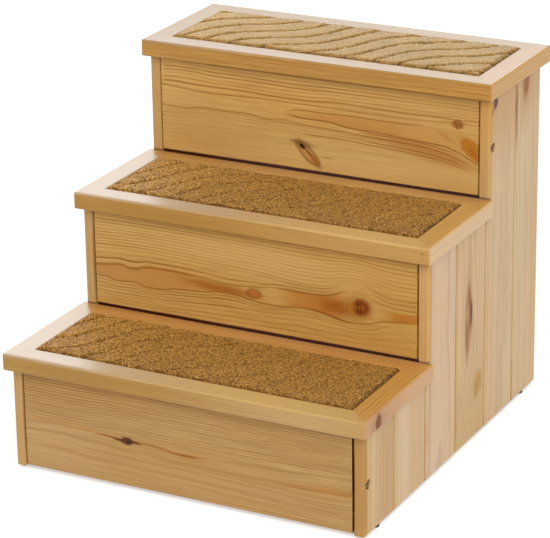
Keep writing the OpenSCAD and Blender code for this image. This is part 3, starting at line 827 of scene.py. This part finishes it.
# Grain of the right side boards: places are Z and Y
RIGHT_GRAIN = {
    1: dict(pith=(-262, 172), slope=(0.01, 0), ring=3, contrast=0.95, seed=31, tone=(0.95, 0.92, 0.7),
            calm=(-196, -176, 0.35), marks=(
        front_edge(57, -216, (0.4, 0.2, 0.057), 0.75),
        # Painted shade in the gap beside riser 1, on the board's inner face
        gap_shade_streak(57, -213, 60, 6, 183.5, 1.6),
        streak(57, -168, 90, 16, (0.54, 0.33, 0.125), 0.45, 0.9),
        streak(57, -196, 90, 9, (0.7, 0.5, 0.27), 0.4, 0.9),
        streak(57, -203.5, 80, 0.9, GRAIN_PALE, 0.6),
        streak(57, -192, 80, 1.1, GRAIN_PALE, 0.6, turn=1),
        streak(57, -183, 70, 0.9, GRAIN_MID, 0.55, turn=1),
        streak(57, -176, 66, 1.2, GRAIN_MID, 0.75, turn=1.5),
        streak(50, -168, 66, 1.3, GRAIN_DEEP, 0.8, turn=2.5),
        streak(62, -161.5, 66, 1, GRAIN_DEEP, 0.75, turn=2),
        streak(54, -156, 66, 1.2, (0.46, 0.25, 0.1), 0.75),
    )),
    2: dict(pith=(-190, 150), slope=(-0.012, 0), ring=3.6, contrast=0.62, seed=37,
            tone=(1.01, 1.01, 0.95), marks=(
        streak(60, -128, 90, 12, (0.76, 0.58, 0.38), 0.45, 0.9),
        streak(60, -90, 90, 9, (0.6, 0.39, 0.155), 0.45, 0.9),
    )),
    3: dict(pith=(-42, 90), slope=(0.02, 0), ring=4.2, contrast=0.32, seed=41, tone=(1.04, 1.09, 1.32),
            marks=(
        front_edge(181, -69, (0.52, 0.27, 0.052), 0.6),
    )),
    4: dict(pith=(10, 120), slope=(0.02, 0.02), ring=3.4, contrast=0.5, seed=43, marks=(
        streak(190, 27, 40, 1.6, TAN, 0.6, 0.9),
        streak(135, 27, 70, 10, TAN, 0.35, 0.9),
        knot(140, 26, 42, 8.5, (0.4, 0.19, 0.075), 0.65, 1.2, 1.6, ragged=0.45, depth=196, lift=1.5,
             rim=0.5, turn=2, bare=True),
        streak(143, 33.2, 16, 3.2, SPLIT, 0.9, 0.5, 0.5, 2, bare=True),
        streak(157, 29, 18, 2.8, RED_BROWN, 0.85, 0.6, 0.7, bare=True),
        streak(134, 29, 10, 2.4, (0.36, 0.13, 0.045), 0.7, 0.6, 0.7, bare=True),
        streak(124, 23, 16, 3.2, (0.28, 0.095, 0.035), 0.8, 0.6, 0.5, 6),
        streak(101, 23.5, 15, 1.9, (0.27, 0.08, 0.03), 0.75, 0.6, 0.5),
        knot(61, 51.5, 14, 12, (0.44, 0.21, 0.08), 0.5, 2, 1.7, depth=196, lift=1.5, rim=0.6, bare=True),
        streak(56, 49, 9, 4, KNOT_BROWN, 0.8, turn=25, bare=True),
        streak(45.8, 47, 4, 1.4, SPLIT, 0.8, turn=40),
        streak(66, 56, 4, 1.4, (0.2, 0.06, 0.03), turn=-30),
        streak(10, 54, 16, 6, ORANGE, 0.4, 0.9),
        streak(20, 30, 70, 60, (0.55, 0.33, 0.08), 0.72, 0.9),
    )),
    5: dict(pith=(112, 110), slope=(-0.012, 0), ring=3.8, contrast=0.32, seed=47, tone=(1.01, 1.03, 1.05),
            marks=(
        front_edge(305, 78, GOLD, 0.6),
        # Painted shade on the top of the board, under the top tread's overhang
        streak(350, 110, 48, 60, (0.55, 0.28, 0.058), 0.82, 0.9),
        knot(350.4, 89, 5.6, 5.6, (0.085, 0.028, 0.012), 0.95, 1, 2.2, 0.2, 1.2, depth=196, bare=True),
        streak(345, 85, 6, 2.4, (0.14, 0.05, 0.018), 0.55, 0.7, 1, 30, bare=True),
        streak(343, 87, 9, 5, ROSE, 0.25, 0.9),
    )),
    6: dict(pith=(180, 150), slope=(0.02, 0), ring=3.6, contrast=0.3, seed=53, tone=(1.01, 1.03, 1.05),
            marks=(
        # Painted shade on the top of the board, under the top tread's overhang
        streak(352, 180, 34, 50, (0.55, 0.28, 0.065), 0.72, 0.9),
        streak(336, 169, 28, 10, TAN, 0.4, 0.8),
        knot(350, 170, 17, 9.5, (0.36, 0.15, 0.05), 0.75, 1.5, depth=196, lift=1.5, rim=0.6, turn=8,
             bare=True),
        streak(348, 168, 12, 3.2, RED_BROWN, 0.7, 0.7, 0.8, 10, bare=True),
        streak(346, 173, 8, 2, (0.22, 0.08, 0.03), turn=12),
        streak(328, 146.5, 34, 1.8, (0.22, 0.09, 0.03), 0.85, 0.6, 1),
        streak(300, 147, 16, 1, (0.2, 0.06, 0.02), 0.7, 0.6, 1),
    )),
}

# Grain of the left side boards, which the photograph doesn't show
LEFT_GRAIN = {
    1: dict(pith=(-170, -130), slope=(-0.02, 0), ring=3.3, contrast=0.4, seed=61, marks=(
        # Painted shade in the gap beside riser 1, on the board's inner face
        gap_shade_streak(57, -213, 60, 6, -183.5, 1.6),
        front_edge(57, -216, GOLD, 0.6),
    )),
    2: dict(pith=(-110, -120), slope=(0.03, 0), ring=3.7, contrast=0.35, seed=67, marks=(
        knot(44, -118, 11, 6, (0.36, 0.16, 0.055), 0.7, 1.6, 1.9, ragged=0.5, depth=-196, lift=1.2,
             turn=6, bare=True),
        streak(43, -119, 5, 2, SPLIT, 0.7, 0.7, 0.9, 14),
    )),
    3: dict(pith=(-30, -140), slope=(0.02, 0), ring=3.9, contrast=0.33, seed=71, marks=(
        # Painted shade in the gap beside riser 2, on the board's inner face
        gap_shade_streak(181, -66, 60, 8, -183.5, 2.2),
        front_edge(181, -69, GOLD, 0.6),
    )),
    4: dict(pith=(40, -110), slope=(-0.02, 0), ring=3.4, contrast=0.38, seed=73, marks=(
        knot(176, 46, 17, 6.5, KNOT_BROWN, 0.7, 1.8, 1.8, ragged=0.5, depth=-196, lift=1.4, turn=-5,
             bare=True),
        streak(179, 47.5, 10, 1.8, (0.2, 0.06, 0.025), 0.7, 0.7, 0.9, -8),
    )),
    5: dict(pith=(100, -150), slope=(0.015, 0), ring=3.6, contrast=0.32, seed=79, marks=(
        # Painted shade in the gap beside riser 3, on the board's inner face
        gap_shade_streak(305, 81, 60, 5, -183.5, 1.5, 0.35),
        front_edge(305, 78, GOLD, 0.6),
        knot(268, 96, 8, 5, (0.27, 0.1, 0.035), 0.75, 1.4, ragged=0.6, depth=-196, bare=True),
    )),
    6: dict(pith=(190, -120), slope=(-0.025, 0), ring=3.5, contrast=0.36, seed=83, marks=(
        knot(92, 178, 18, 8, (0.38, 0.17, 0.06), 0.65, 1.7, 1.7, ragged=0.5, depth=-196, lift=1.4, turn=4,
             bare=True),
        streak(88, 180, 9, 2.4, (0.26, 0.09, 0.035), 0.7, 0.7, 0.8, 10),
    )),
}

# Grain of the tread rails: places are X and Y for front and rear rails, Y and X for side rails
RAIL_GRAIN = {
    (1, "front"): dict(pith=(-215, 98), ring=2.6, contrast=0.55, seed=101, tone=(0.83, 0.84, 0.94), marks=(
        # Painted light on the right part of the rail
        streak(130, -215, 100, 40, (0.62, 0.44, 0.22), 0.4, 0.9),
        # Painted reflection on the left end of the rail's top
        reflection_streak(-165, -214, 150, 40, 127),
        # Painted light on the top face only
        streak(75, -205, 130, 40, (0.8, 0.51, 0.135), 0.45, 0.9, depth=128, deep=2.6),
        streak(-110, -227, 120, 6, (0.38, 0.205, 0.045), 0.72, 0.9, depth=117, deep=10),
    )),
    (1, "rear"): dict(pith=(-120, 70), ring=2.8, contrast=0.5, seed=102, tone=(1.04, 0.86, 0.76), marks=(
        # Painted shade in the gap under riser 2, on the rail's top
        gap_shade_streak(0, -66.5, 400, 3.2, 127, 4),
    )),
    (1, "left"): dict(pith=(-150, 60), ring=2.8, contrast=0.45, seed=103, tone=(0.95, 0.95, 1), marks=(
        # Painted reflection on the rail's top
        reflection_streak(-147, -188, 200, 30, 127),
        # Paler outer face and a painted highlight on its upper edge
        outer_face_and_highlight("left", -147, EDGE_PALE_HIGHLIGHT, 0.4),
    )),
    (1, "right"): dict(pith=(150, 70), ring=2.6, contrast=0.62, seed=104, tone=(1.06, 0.95, 0.76), marks=(
        # Paler outer face and a painted highlight on its upper edge
        outer_face_and_highlight("right", -147, (0.66, 0.38, 0.17), 0.6),
        streak(-190, 200, 46, 5, (0.5, 0.235, 0.075), 0.75, 0.8, 0.5, depth=116, deep=12),
        streak(-196, 200, 14, 5, (0.36, 0.13, 0.03), 0.6, 0.8, 1, depth=115, deep=10),
        knot(-195, 200, 6, 40, (0.17, 0.05, 0.014), 0.92, 1, 1.5, ragged=0.5, depth=115.5, deep=9,
             bare=True),
    )),
    (2, "front"): dict(pith=(-92, 226), ring=2.9, contrast=0.42, seed=105, tone=(0.86, 0.8, 0.7), marks=(
        streak(120, -70, 110, 40, (0.6, 0.39, 0.15), 0.35, 0.9),
        # Painted reflection on the left end of the rail's top
        reflection_streak(-165, -67, 150, 40, 251),
        # Painted light on the top face only
        streak(130, -66, 110, 40, (0.84, 0.54, 0.2), 0.55, 0.9, depth=252, deep=2.6),
        streak(-110, -80, 120, 6, (0.4, 0.21, 0.04), 0.72, 0.9, depth=241, deep=10),
        knot(192, -79, 1.3, 30, (0.14, 0.04, 0.02), 0.7, 3, 1.5, 0.5, depth=245, deep=1.1),
    )),
    (2, "rear"): dict(pith=(20, 200), ring=2.7, contrast=0.45, seed=106, tone=(1, 0.92, 0.86), marks=(
        # Painted shade in the gap under riser 3, on the rail's top
        gap_shade_streak(0, 80.3, 400, 3.8, 251, 4),
    )),
    (2, "left"): dict(pith=(-240, 190), ring=2.7, contrast=0.45, seed=107, tone=(0.95, 0.95, 1), marks=(
        # Painted reflection on the rail's top
        reflection_streak(0, -188, 200, 30, 251),
        # Paler outer face and a painted highlight on its upper edge
        outer_face_and_highlight("left", 0, EDGE_PALE_HIGHLIGHT, 0.4),
    )),
    (2, "right"): dict(pith=(235, 200), ring=2.8, contrast=0.42, seed=108, tone=(1.1, 1.06, 1.02), marks=(
        # Paler outer face and a painted highlight on its upper edge
        outer_face_and_highlight("right", 0, (0.8, 0.6, 0.36), 0.5),
    )),
    (3, "front"): dict(pith=(120, 330), ring=2.7, contrast=0.66, seed=109, tone=(0.84, 0.75, 0.6), marks=(
        # Top face only: painted reflection on the left half, painted shade on the right
        streak(-150, 80, 150, 40, (0.46, 0.36, 0.26), 0.55, 0.9, depth=376, deep=2.6),
        streak(120, 80, 110, 40, (0.34, 0.24, 0.08), 0.5, 0.9, depth=376, deep=2.6),
    )),
    (3, "rear"): dict(pith=(260, 320), ring=2.8, contrast=0.45, seed=110, tone=(0.76, 0.78, 0.88)),
    (3, "left"): dict(pith=(-150, 330), ring=2.8, contrast=0.45, seed=111, tone=(0.76, 0.8, 0.95)),
    (3, "right"): dict(pith=(240, 330), ring=2.9, contrast=0.5, seed=112, tone=(0.88, 0.78, 0.64), marks=(
        # Paler outer face and a painted highlight on its upper edge
        outer_face_and_highlight("right", 147, (0.76, 0.4, 0.09), 0.5),
    )),
}

# Grain of the inner pieces, which show only from behind and below
INNER_GRAIN = {
    "cross_cleat_1": (TOP_X, dict(pith=(-80, 60), seed=201, marks=(
        # Painted shade in the gap under riser 2, on the cleat's top
        gap_shade_streak(0, -66, 400, 8, 127, 4),
    ))),
    "cross_cleat_2": (TOP_X, dict(pith=(60, 190), seed=202, marks=(
        # Painted shade in the gap under riser 3, on the cleat's top
        gap_shade_streak(0, 81, 400, 8, 251, 4),
    ))),
    "rear_rail_lower": (FRONT_X, dict(pith=(40, 260), seed=203, contrast=0.5, marks=(
        knot(-96, 46, 10, 6.5, INNER_KNOT, 0.85, 2.5, 1.9, depth=208, lift=1.4),
    ))),
    "rear_rail_upper": (FRONT_X, dict(pith=(322, 280), seed=204, contrast=0.5, marks=(
        knot(62, 318, 9, 5.5, INNER_KNOT, turns=2, depth=208, lift=1.4),
    ))),
    "right_cleat_1": (TOP_Y, dict(pith=(160, 40), seed=205)),
    "right_cleat_2": (TOP_Y, dict(pith=(190, 150), seed=206)),
    "right_cleat_3": (TOP_Y, dict(pith=(150, 290), seed=207)),
    "right_floor_batten": (TOP_Y, dict(pith=(170, -40), seed=208)),
    "left_cleat_1": (TOP_Y, dict(pith=(-160, 50), seed=209)),
    "left_cleat_2": (TOP_Y, dict(pith=(-190, 160), seed=210)),
    "left_cleat_3": (TOP_Y, dict(pith=(-150, 280), seed=211)),
    "left_floor_batten": (TOP_Y, dict(pith=(-150, -50), seed=212)),
    "riser_dowels": (TOP_X, dict(pith=(0, 0), ring=1.4, seed=213)),
    "rear_rail_dowels": (TOP_X, dict(pith=(0, 0), ring=1.4, seed=214)),
}


class STAIRS_OT_tread_frames(bpy.types.Operator):
    """Finishes the mitred rails of the three treads"""

    bl_idname = "stairs.tread_frames"
    bl_label = "Tread frames"

    def execute(self, context):
        for (n, place), grain in RAIL_GRAIN.items():
            axes = TOP_X if place in ("front", "rear") else TOP_Y
            give(f"tread_{n}_{place}_rail", pine(f"pine tread {n} {place} rail", axes, wander=4, **grain))
        return {"FINISHED"}


class STAIRS_OT_risers(bpy.types.Operator):
    """Finishes the three risers"""

    bl_idname = "stairs.risers"
    bl_label = "Risers"

    def execute(self, context):
        for n, grain in RISER_GRAIN.items():
            give(f"riser_{n}", pine(f"pine riser {n}", FRONT_X, **grain))
        return {"FINISHED"}


class STAIRS_OT_side_boards(bpy.types.Operator):
    """Finishes the boards of both side panels"""

    bl_idname = "stairs.side_boards"
    bl_label = "Side boards"

    def execute(self, context):
        pale = context.scene.stairs_pine.side_colour
        for side, table in (("right", RIGHT_GRAIN), ("left", LEFT_GRAIN)):
            for i, grain in table.items():
                grooves = [groove(y) for y in BOARD_JOINTS[max(i - 2, 0):i]]
                marked = {**grain, "marks": (*grooves, *grain.get("marks", ()))}
                made = pine(f"pine {side} board {i}", SIDE_Z, wander=8, pale=pale, fibre=0.6, **marked)
                give(f"{side}_board_{i}", made)
        return {"FINISHED"}


class STAIRS_OT_inner_wood(bpy.types.Operator):
    """Finishes the cleats, the rear rails, the dowels and the boards under the carpets"""

    bl_idname = "stairs.inner_wood"
    bl_label = "Inner wood"

    def execute(self, context):
        for node, (axes, grain) in INNER_GRAIN.items():
            give(node, pine(f"pine {node}", axes, wander=5, **grain))
        sheet = pine("plywood", TOP_X, (0, -900), ring=7, wander=30, contrast=0.3, seed=301,
                     tone=(1, 1.06, 1.3))
        for n in STEPS:
            give(f"tread_{n}_base", sheet)
        return {"FINISHED"}


# Carpet

# Each carpet's furrows: phase is where a wave starts, first where the first furrow lies in
# millimetres, depth_shares how much of the depth they have at the left end and at the right. Its pile:
# tone is the share of the tips' colour, left_light a further share at the left end that is painted light,
# even how far the gaps between its tufts are brushed over, sheen the weight of its sheen
FURROWS = {
    1: dict(phase=3.463, first=118.6, depth_shares=(0.75, 0.24), tone=(1.02, 0.97, 0.78),
            left_light=(1.25, 1.30, 1.36), even=0.0, sheen=0.12),
    2: dict(phase=3.747, first=131.3, depth_shares=(0.75, 0.26), tone=(1.04, 1.0, 0.83),
            left_light=(1.36, 1.50, 2.05), even=0.0, sheen=0.12),
    # Carpet 3's paler tone is painted light; the carpets are alike
    3: dict(phase=5.758, first=122.3, depth_shares=(1.0, 1.0), tone=(1.10, 1.23, 1.46),
            left_light=(1.15, 1.17, 1.21), even=0.35, sheen=0.55),
}

# X between which the tips change from the painted light of the left end to the carpet's own tone
LEFT_LIGHT_SPAN = (-170 * MM, -10 * MM)

# Light in the pile over which its colour goes from root to tip, and over which its gloss grows
TIP_SPAN, GLOSS_SPAN = (0.05, 0.85), (0.15, 0.8)

# Noise of the speckle over which the gloss grows, and its shares there
SPECKLE_SPAN, SPECKLE_GLOSS = (0.35, 0.65), (0.45, 1.0)

# Shades of the speckle and of the broader clouds, and the scales of their noise and of the yarn's
SPECKLE_SHADES = (0.30, 0.25, 0.16, 1), (1.59, 1.60, 1.61, 1)
CLOUD_SHADES = (0.93, 0.92, 0.90, 1), (1.05, 1.05, 1.05, 1)
SPECKLE_SCALE, CLOUD_SCALE, YARN_SCALE = 1060.0, 28.0, 900.0

# Width of the carpet's rounded edge, how far it drops, and how far its line strays
EDGE_WIDTH, EDGE_DROP, EDGE_STRAY = 3.2 * MM, 2.6 * MM, 1.3 * MM

# How far the furrows' lines stray, the pile's height swells and its points stray, and how often the
# noise for each changes per metre
LONG_STRAY, LONG_ALONG, LONG_ACROSS = 1.7 * MM, 110, 70
SHORT_STRAY, SHORT_ALONG, SHORT_ACROSS = 1.1 * MM, 420, 300
SWELL, SWELL_CHANGES = 0.5 * MM, 55
POINT_STRAY, POINT_CHANGES = 0.25 * MM, 700
EDGE_CHANGES = 160

# Depth of a furrow along its length: its middle, how far noise changes it, how often per metre, and how
# far on in the noise the next furrow lies
FURROW_LEVEL, FURROW_SPREAD, FURROW_CHANGES, FURROW_APART = 0.80, 0.75, 150, 3.1

# Share of the length, from the left, over which the furrows' depth changes
CHANGE_LENGTH = 0.625

# Half the width of a tuft, as a share of the distance from one to the next
TUFT_SHARE = 0.62


def noise_at(*place):
    """Noise from -1 to 1 at three numbers, the last of which sets one use of it apart from another."""
    return noise.noise(Vector(place))


def limited(value):
    """Value, or else the nearer of 0 and 1."""
    return min(1.0, max(0.0, value))


def pile_material(name, layout):
    """Cut pile: painted shade between the tufts and in the furrows, painted light at its left end, with a
    soft sheen.
    """
    look = bpy.context.scene.stairs_carpet
    made = bpy.data.materials.new(name)
    tree = emptied(made)
    row = object_place(tree)
    light = add_node(tree, "ShaderNodeAttribute", attribute_name="pile").outputs["Fac"]
    tip = Vector(a * b for a, b in zip(look.tip_colour, layout["tone"]))
    # Painted light: paler tips towards the left end
    left = steps(tree, split(tree, row)[0], *LEFT_LIGHT_SPAN, 1.0, 0.0)
    tips = blend_colour(tree, left, colour(tip), colour([a * b for a, b in zip(tip, layout["left_light"])]))
    tone = blend_colour(tree, steps(tree, light, *TIP_SPAN), colour(look.root_colour), tips)
    grain = noise_of(tree, row, SPECKLE_SCALE, 2.0, 0.7)["Fac"]
    clouds = noise_of(tree, row, CLOUD_SCALE)["Fac"]
    tone = shaded(tree, tone, 1.0, steps(tree, grain, *NOISE_SPAN), *SPECKLE_SHADES)
    tone = shaded(tree, tone, 1.0, steps(tree, clouds, *NOISE_SPAN), *CLOUD_SHADES)
    yarn = add_node(tree, "ShaderNodeTexVoronoi", {"Vector": row, "Scale": YARN_SCALE}).outputs["Distance"]
    show_surface(tree, add_node(tree, "ShaderNodeBsdfPrincipled", {
        "Base Color": tone, "Roughness": 0.92, "Specular IOR Level": 0.1,
        "Sheen Weight": layout["sheen"], "Sheen Roughness": 0.4, "Sheen Tint": (1.0, 0.92, 0.62, 1),
        "Coat Weight": product(
            tree, steps(tree, light, *GLOSS_SPAN), steps(tree, grain, *SPECKLE_SPAN, *SPECKLE_GLOSS)),
        "Coat Roughness": 0.42, "Coat IOR": 1.6,
        "Normal": add_node(tree, "ShaderNodeBump", {
            "Height": calc(tree, "ADD", grain, product(tree, yarn, -0.6)),
            "Strength": 0.8, "Distance": 0.5 * MM,
        }).outputs[0],
    }))
    return made


def furrow_share(x, y, n, look):
    """How deep in a furrow a place is, from 0 to 1; x and y are from the carpet's middle."""
    layout = FURROWS[n]
    turn = look.furrow_turn
    along = x * math.cos(turn) + y * math.sin(turn)
    across = -x * math.sin(turn) + y * math.cos(turn)
    strays = noise_at(along * LONG_ALONG, across * LONG_ACROSS, n * 7.0) * LONG_STRAY
    strays += noise_at(along * SHORT_ALONG, across * SHORT_ACROSS, n * 13.0) * SHORT_STRAY
    from_wave = across - look.wave_height * math.sin(math.tau * along / look.wave_length + layout["phase"])
    step = (from_wave - layout["first"] * MM + strays) / look.furrow_gap
    off = abs(step - round(step)) * look.furrow_gap
    free = noise_at(along * FURROW_CHANGES, round(step) * FURROW_APART, n * 5.0)
    return limited(FURROW_LEVEL + FURROW_SPREAD * free) * math.exp(-((off / look.furrow_width) ** 2))


class STAIRS_OT_carpets(bpy.types.Operator):
    """Lays a tufted carpet in each tread"""

    bl_idname = "stairs.carpets"
    bl_label = "Carpets"

    def execute(self, context):
        for n in STEPS:
            self.lay(n, context.scene.stairs_carpet)
        return {"FINISHED"}

    def lay(self, n, look):
        """Grid with the pile's shape on top, and with a skirt and a base below."""
        node = f"tread_{n}_carpet"
        low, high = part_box(node)
        size = high - low
        middle = (low + high) / 2
        shape = bmesh.new()
        columns, rows = round(size.x / look.cell), round(size.y / look.cell)
        bmesh.ops.create_grid(shape, x_segments=columns, y_segments=rows, size=0.5)
        bmesh.ops.scale(shape, vec=(size.x, size.y, 1), verts=shape.verts)
        pile = shape.verts.layers.float.new("pile")
        for v in shape.verts:
            v.co, v[pile] = self.point(v.co.x, v.co.y, n, size, look)
        border = [e for e in shape.edges if e.is_boundary]
        for v in bmesh.ops.extrude_edge_only(shape, edges=border)["geom"]:
            if isinstance(v, bmesh.types.BMVert):
                v.co.z = low.z - high.z
        bmesh.ops.holes_fill(shape, edges=[e for e in shape.edges if e.is_boundary], sides=0)
        bmesh.ops.translate(shape, vec=(middle.x, middle.y, high.z), verts=shape.verts)
        bmesh.ops.recalc_face_normals(shape, faces=shape.faces)
        carpet = mesh_object(f"carpet_{n}", shape, pile_material(f"cut pile {n}", FURROWS[n]))
        carpet.data.shade_smooth()
        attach(carpet, BODY)
        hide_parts(node)

    def point(self, x, y, n, size, look):
        """Place of a point of the pile from the middle of the inlay's top, and how much light gets to it,
        from 0 to 1."""
        to_edge = min(size.x / 2 - abs(x), size.y / 2 - abs(y))
        to_edge -= (0.5 + noise_at(x * EDGE_CHANGES, y * EDGE_CHANGES, n * 9.0)) * EDGE_STRAY
        t = limited(to_edge / EDGE_WIDTH)  # 0 at the edge and 1 inside its rounding
        drop = EDGE_DROP * (1 - math.sqrt(max(0.0, 1 - (1 - t) ** 2)))
        left_share, right_share = FURROWS[n]["depth_shares"]
        change = min(1, (x / size.x + 0.5) / CHANGE_LENGTH)
        deep = furrow_share(x, y, n, look) * (left_share + (right_share - left_share) * change)
        near = noise.voronoi(Vector((x / look.tuft, y / look.tuft, n * 11.0)))[0]
        tuft = 1 - (1 - FURROWS[n]["even"]) * min(1.0, near[0] / TUFT_SHARE) ** 2
        swell = noise_at(x * SWELL_CHANGES, y * SWELL_CHANGES, n * 3.0) * SWELL
        z = look.proud * t - deep * look.furrow_depth - drop - (1 - tuft) * look.tuft_height + swell
        strays = [noise_at(x * POINT_CHANGES, y * POINT_CHANGES, layer) * POINT_STRAY * t for layer in (1, 9)]
        # A gap between tufts leaves 0.35 of the light, a full furrow 0.05 and the edge 0.45
        light = (0.35 + 0.65 * tuft) * (1 - 0.95 * deep) * (0.45 + 0.55 * t)
        return Vector((x + strays[0], y + strays[1], z)), limited(light)


# Feet and screws

# Shades of the speckle, and its noise over which the roughness changes
SPECK_SHADES, SPECK_SPAN = (0.8, 1.15), (0.2, 0.8)


def plain_material(name, tint, roughness, rough_spread, metallic, scale, bump):
    """Rubber or steel with fine speckle, which changes its roughness by up to rough_spread."""
    made = bpy.data.materials.new(name)
    tree = emptied(made)
    speck = noise_of(tree, object_place(tree), scale, 4.0, 0.6)["Fac"]
    dark, pale = (colour(Vector(tint) * share) for share in SPECK_SHADES)
    show_surface(tree, add_node(tree, "ShaderNodeBsdfPrincipled", {
        "Base Color": blend_colour(tree, steps(tree, speck, *NOISE_SPAN), dark, pale), "Metallic": metallic,
        "Roughness": steps(tree, speck, *SPECK_SPAN, roughness - rough_spread, roughness + rough_spread),
        "Normal": add_node(tree, "ShaderNodeBump", {
            "Height": speck, "Strength": bump, "Distance": 0.05 * MM,
        }).outputs[0],
    }))
    return made


class STAIRS_OT_feet_and_fixings(bpy.types.Operator):
    """Finishes the feet in rubber, and the screws and nails in steel"""

    bl_idname = "stairs.feet_and_fixings"
    bl_label = "Feet and fixings"

    def execute(self, context):
        rubber = plain_material("black rubber", (0.022, 0.021, 0.020), roughness=0.62, rough_spread=0.08,
                                metallic=0.0, scale=1400, bump=0.5)
        steel = plain_material("browned steel", (0.26, 0.19, 0.12), roughness=0.42, rough_spread=0.10,
                               metallic=1.0, scale=2200, bump=0.2)
        for corner in ("front_left", "front_right", "rear_left", "rear_right"):
            give(f"{corner}_foot", rubber)
        for node in ("foot_nails", "riser_screws", "tread_screws"):
            give(node, steel)
        return {"FINISHED"}


# Stage

# Half the floor's width, its colour, and the light that it gives to the camera and to reflections, on
# top of what it scatters
FLOOR_REACH = 20
FLOOR_COLOUR = (0.86, 0.86, 0.86, 1)
FLOOR_GLOW = 0.44

# The fitted camera: height of its aim point, how far that point lies right of the picture's middle and
# above it, the picture's width in pixels and the sensor's in millimetres
AIM_HEIGHT = 180 * MM
SIDEWAYS, UPWARDS = 8.262 * MM, 7.786 * MM
PICTURE_WIDTH = 550
SENSOR_WIDTH = 36


def seen_directly(tree):
    """1 for what the camera sees, also in a reflection or through glass, and 0 for other light."""
    path = add_node(tree, "ShaderNodeLightPath").outputs
    mirrored = calc(tree, "MAXIMUM", path["Is Glossy Ray"], path["Is Transmission Ray"])
    return calc(tree, "MAXIMUM", path["Is Camera Ray"], mirrored)


def plain_floor():
    """Pale floor, white to the camera and in reflections, which keeps the stairs' shadow."""
    shape = bmesh.new()
    bmesh.ops.create_grid(shape, x_segments=1, y_segments=1, size=FLOOR_REACH)
    made = bpy.data.materials.new("pale floor")
    tree = emptied(made)
    diffuse = add_node(tree, "ShaderNodeBsdfDiffuse", {"Color": FLOOR_COLOUR})
    glow = add_node(tree, "ShaderNodeEmission", {
        "Color": (1, 1, 1, 1), "Strength": product(tree, seen_directly(tree), FLOOR_GLOW),
    })
    show_surface(tree, add_node(tree, "ShaderNodeAddShader", {0: diffuse.outputs[0], 1: glow.outputs[0]}))
    mesh_object("floor", shape, made)


def white_world(strength):
    """Even light of a plain strength, white to the camera and in reflections."""
    world = bpy.data.worlds.new("white studio")
    bpy.context.scene.world = world
    tree = emptied(world)
    level = calc(tree, "ADD", product(tree, seen_directly(tree), 1 - strength), strength)
    back = add_node(tree, "ShaderNodeBackground", {"Color": (1, 1, 1, 1), "Strength": level})
    show_surface(tree, back, "ShaderNodeOutputWorld")


def lamp(name, place, aim, width, height, power):
    """Soft area lamp at a place, aimed at a point, and not seen by the camera."""
    light = bpy.data.lights.new(name, "AREA")
    light.shape = "RECTANGLE"
    light.size, light.size_y = width, height
    light.energy = power
    made = bpy.data.objects.new(name, light)
    made.location = place
    made.rotation_euler = (Vector(aim) - Vector(place)).to_track_quat("-Z", "Y").to_euler()
    made.visible_camera = False
    bpy.context.scene.collection.objects.link(made)


class STAIRS_OT_stage(bpy.types.Operator):
    """Sets up the floor, the lamps, the world and the camera"""

    bl_idname = "stairs.stage"
    bl_label = "Stage"

    def execute(self, context):
        look = context.scene.stairs_stage
        context.scene.view_settings.view_transform = "Standard"
        plain_floor()
        white_world(look.world_strength)
        lamp("key lamp", (1.5, -2.45, 2.5), (0, 0, 0.2), 3.6, 2.4, look.key_power)
        lamp("back lamp", (-1.25, 2.3, 1.65), (0, 0, 0.25), 2.6, 0.7, look.back_power)
        self.camera(context.scene, look)
        return {"FINISHED"}

    def camera(self, scene, look):
        """Camera fitted to the photograph."""
        a, e, r = look.azimuth, look.elevation, look.roll
        ahead = Vector((-math.sin(a) * math.cos(e), math.cos(a) * math.cos(e), -math.sin(e)))
        level = Vector((math.cos(a), math.sin(a), 0))
        above = level.cross(ahead)
        right = level * math.cos(r) + above * math.sin(r)
        up = above * math.cos(r) - level * math.sin(r)
        data = bpy.data.cameras.new("camera")
        data.sensor_width = SENSOR_WIDTH
        data.lens = look.focal_pixels * SENSOR_WIDTH / PICTURE_WIDTH
        data.clip_end = 60
        made = bpy.data.objects.new("camera", data)
        place = Vector((0, 0, AIM_HEIGHT)) - right * SIDEWAYS - up * UPWARDS - ahead * look.distance
        made.matrix_world = Matrix.Translation(place) @ Matrix((right, up, -ahead)).transposed().to_4x4()
        scene.collection.objects.link(made)
        scene.camera = made


class STAIRS_PT_panel(bpy.types.Panel):
    """Lists the steps that dress the stairs"""

    bl_idname = "STAIRS_PT_panel"
    bl_label = "Pet stairs"
    bl_space_type = "VIEW_3D"
    bl_region_type = "UI"
    bl_category = "Pet stairs"

    def draw(self, context):
        for name in SETTINGS:
            group = getattr(context.scene, name)
            box = self.layout.box()
            for prop in group.__annotations__:
                box.prop(group, prop)
        for kind in OPERATORS:
            self.layout.operator(kind.bl_idname)


OPERATORS = (
    STAIRS_OT_tread_frames, STAIRS_OT_risers, STAIRS_OT_side_boards, STAIRS_OT_inner_wood,
    STAIRS_OT_carpets, STAIRS_OT_feet_and_fixings, STAIRS_OT_stage,
)
CLASSES = (*SETTINGS.values(), *OPERATORS, STAIRS_PT_panel)


def register():
    for kind in CLASSES:
        bpy.utils.register_class(kind)
    for name, kind in SETTINGS.items():
        setattr(bpy.types.Scene, name, PointerProperty(type=kind))


def unregister():
    for name in SETTINGS:
        delattr(bpy.types.Scene, name)
    for kind in reversed(CLASSES):
        bpy.utils.unregister_class(kind)


def main():
    """Dresses the stairs."""
    register()
    bpy.ops.stairs.tread_frames()
    bpy.ops.stairs.risers()
    bpy.ops.stairs.side_boards()
    bpy.ops.stairs.inner_wood()
    bpy.ops.stairs.carpets()
    bpy.ops.stairs.feet_and_fixings()
    bpy.ops.stairs.stage()


if __name__ == "__main__":
    main()
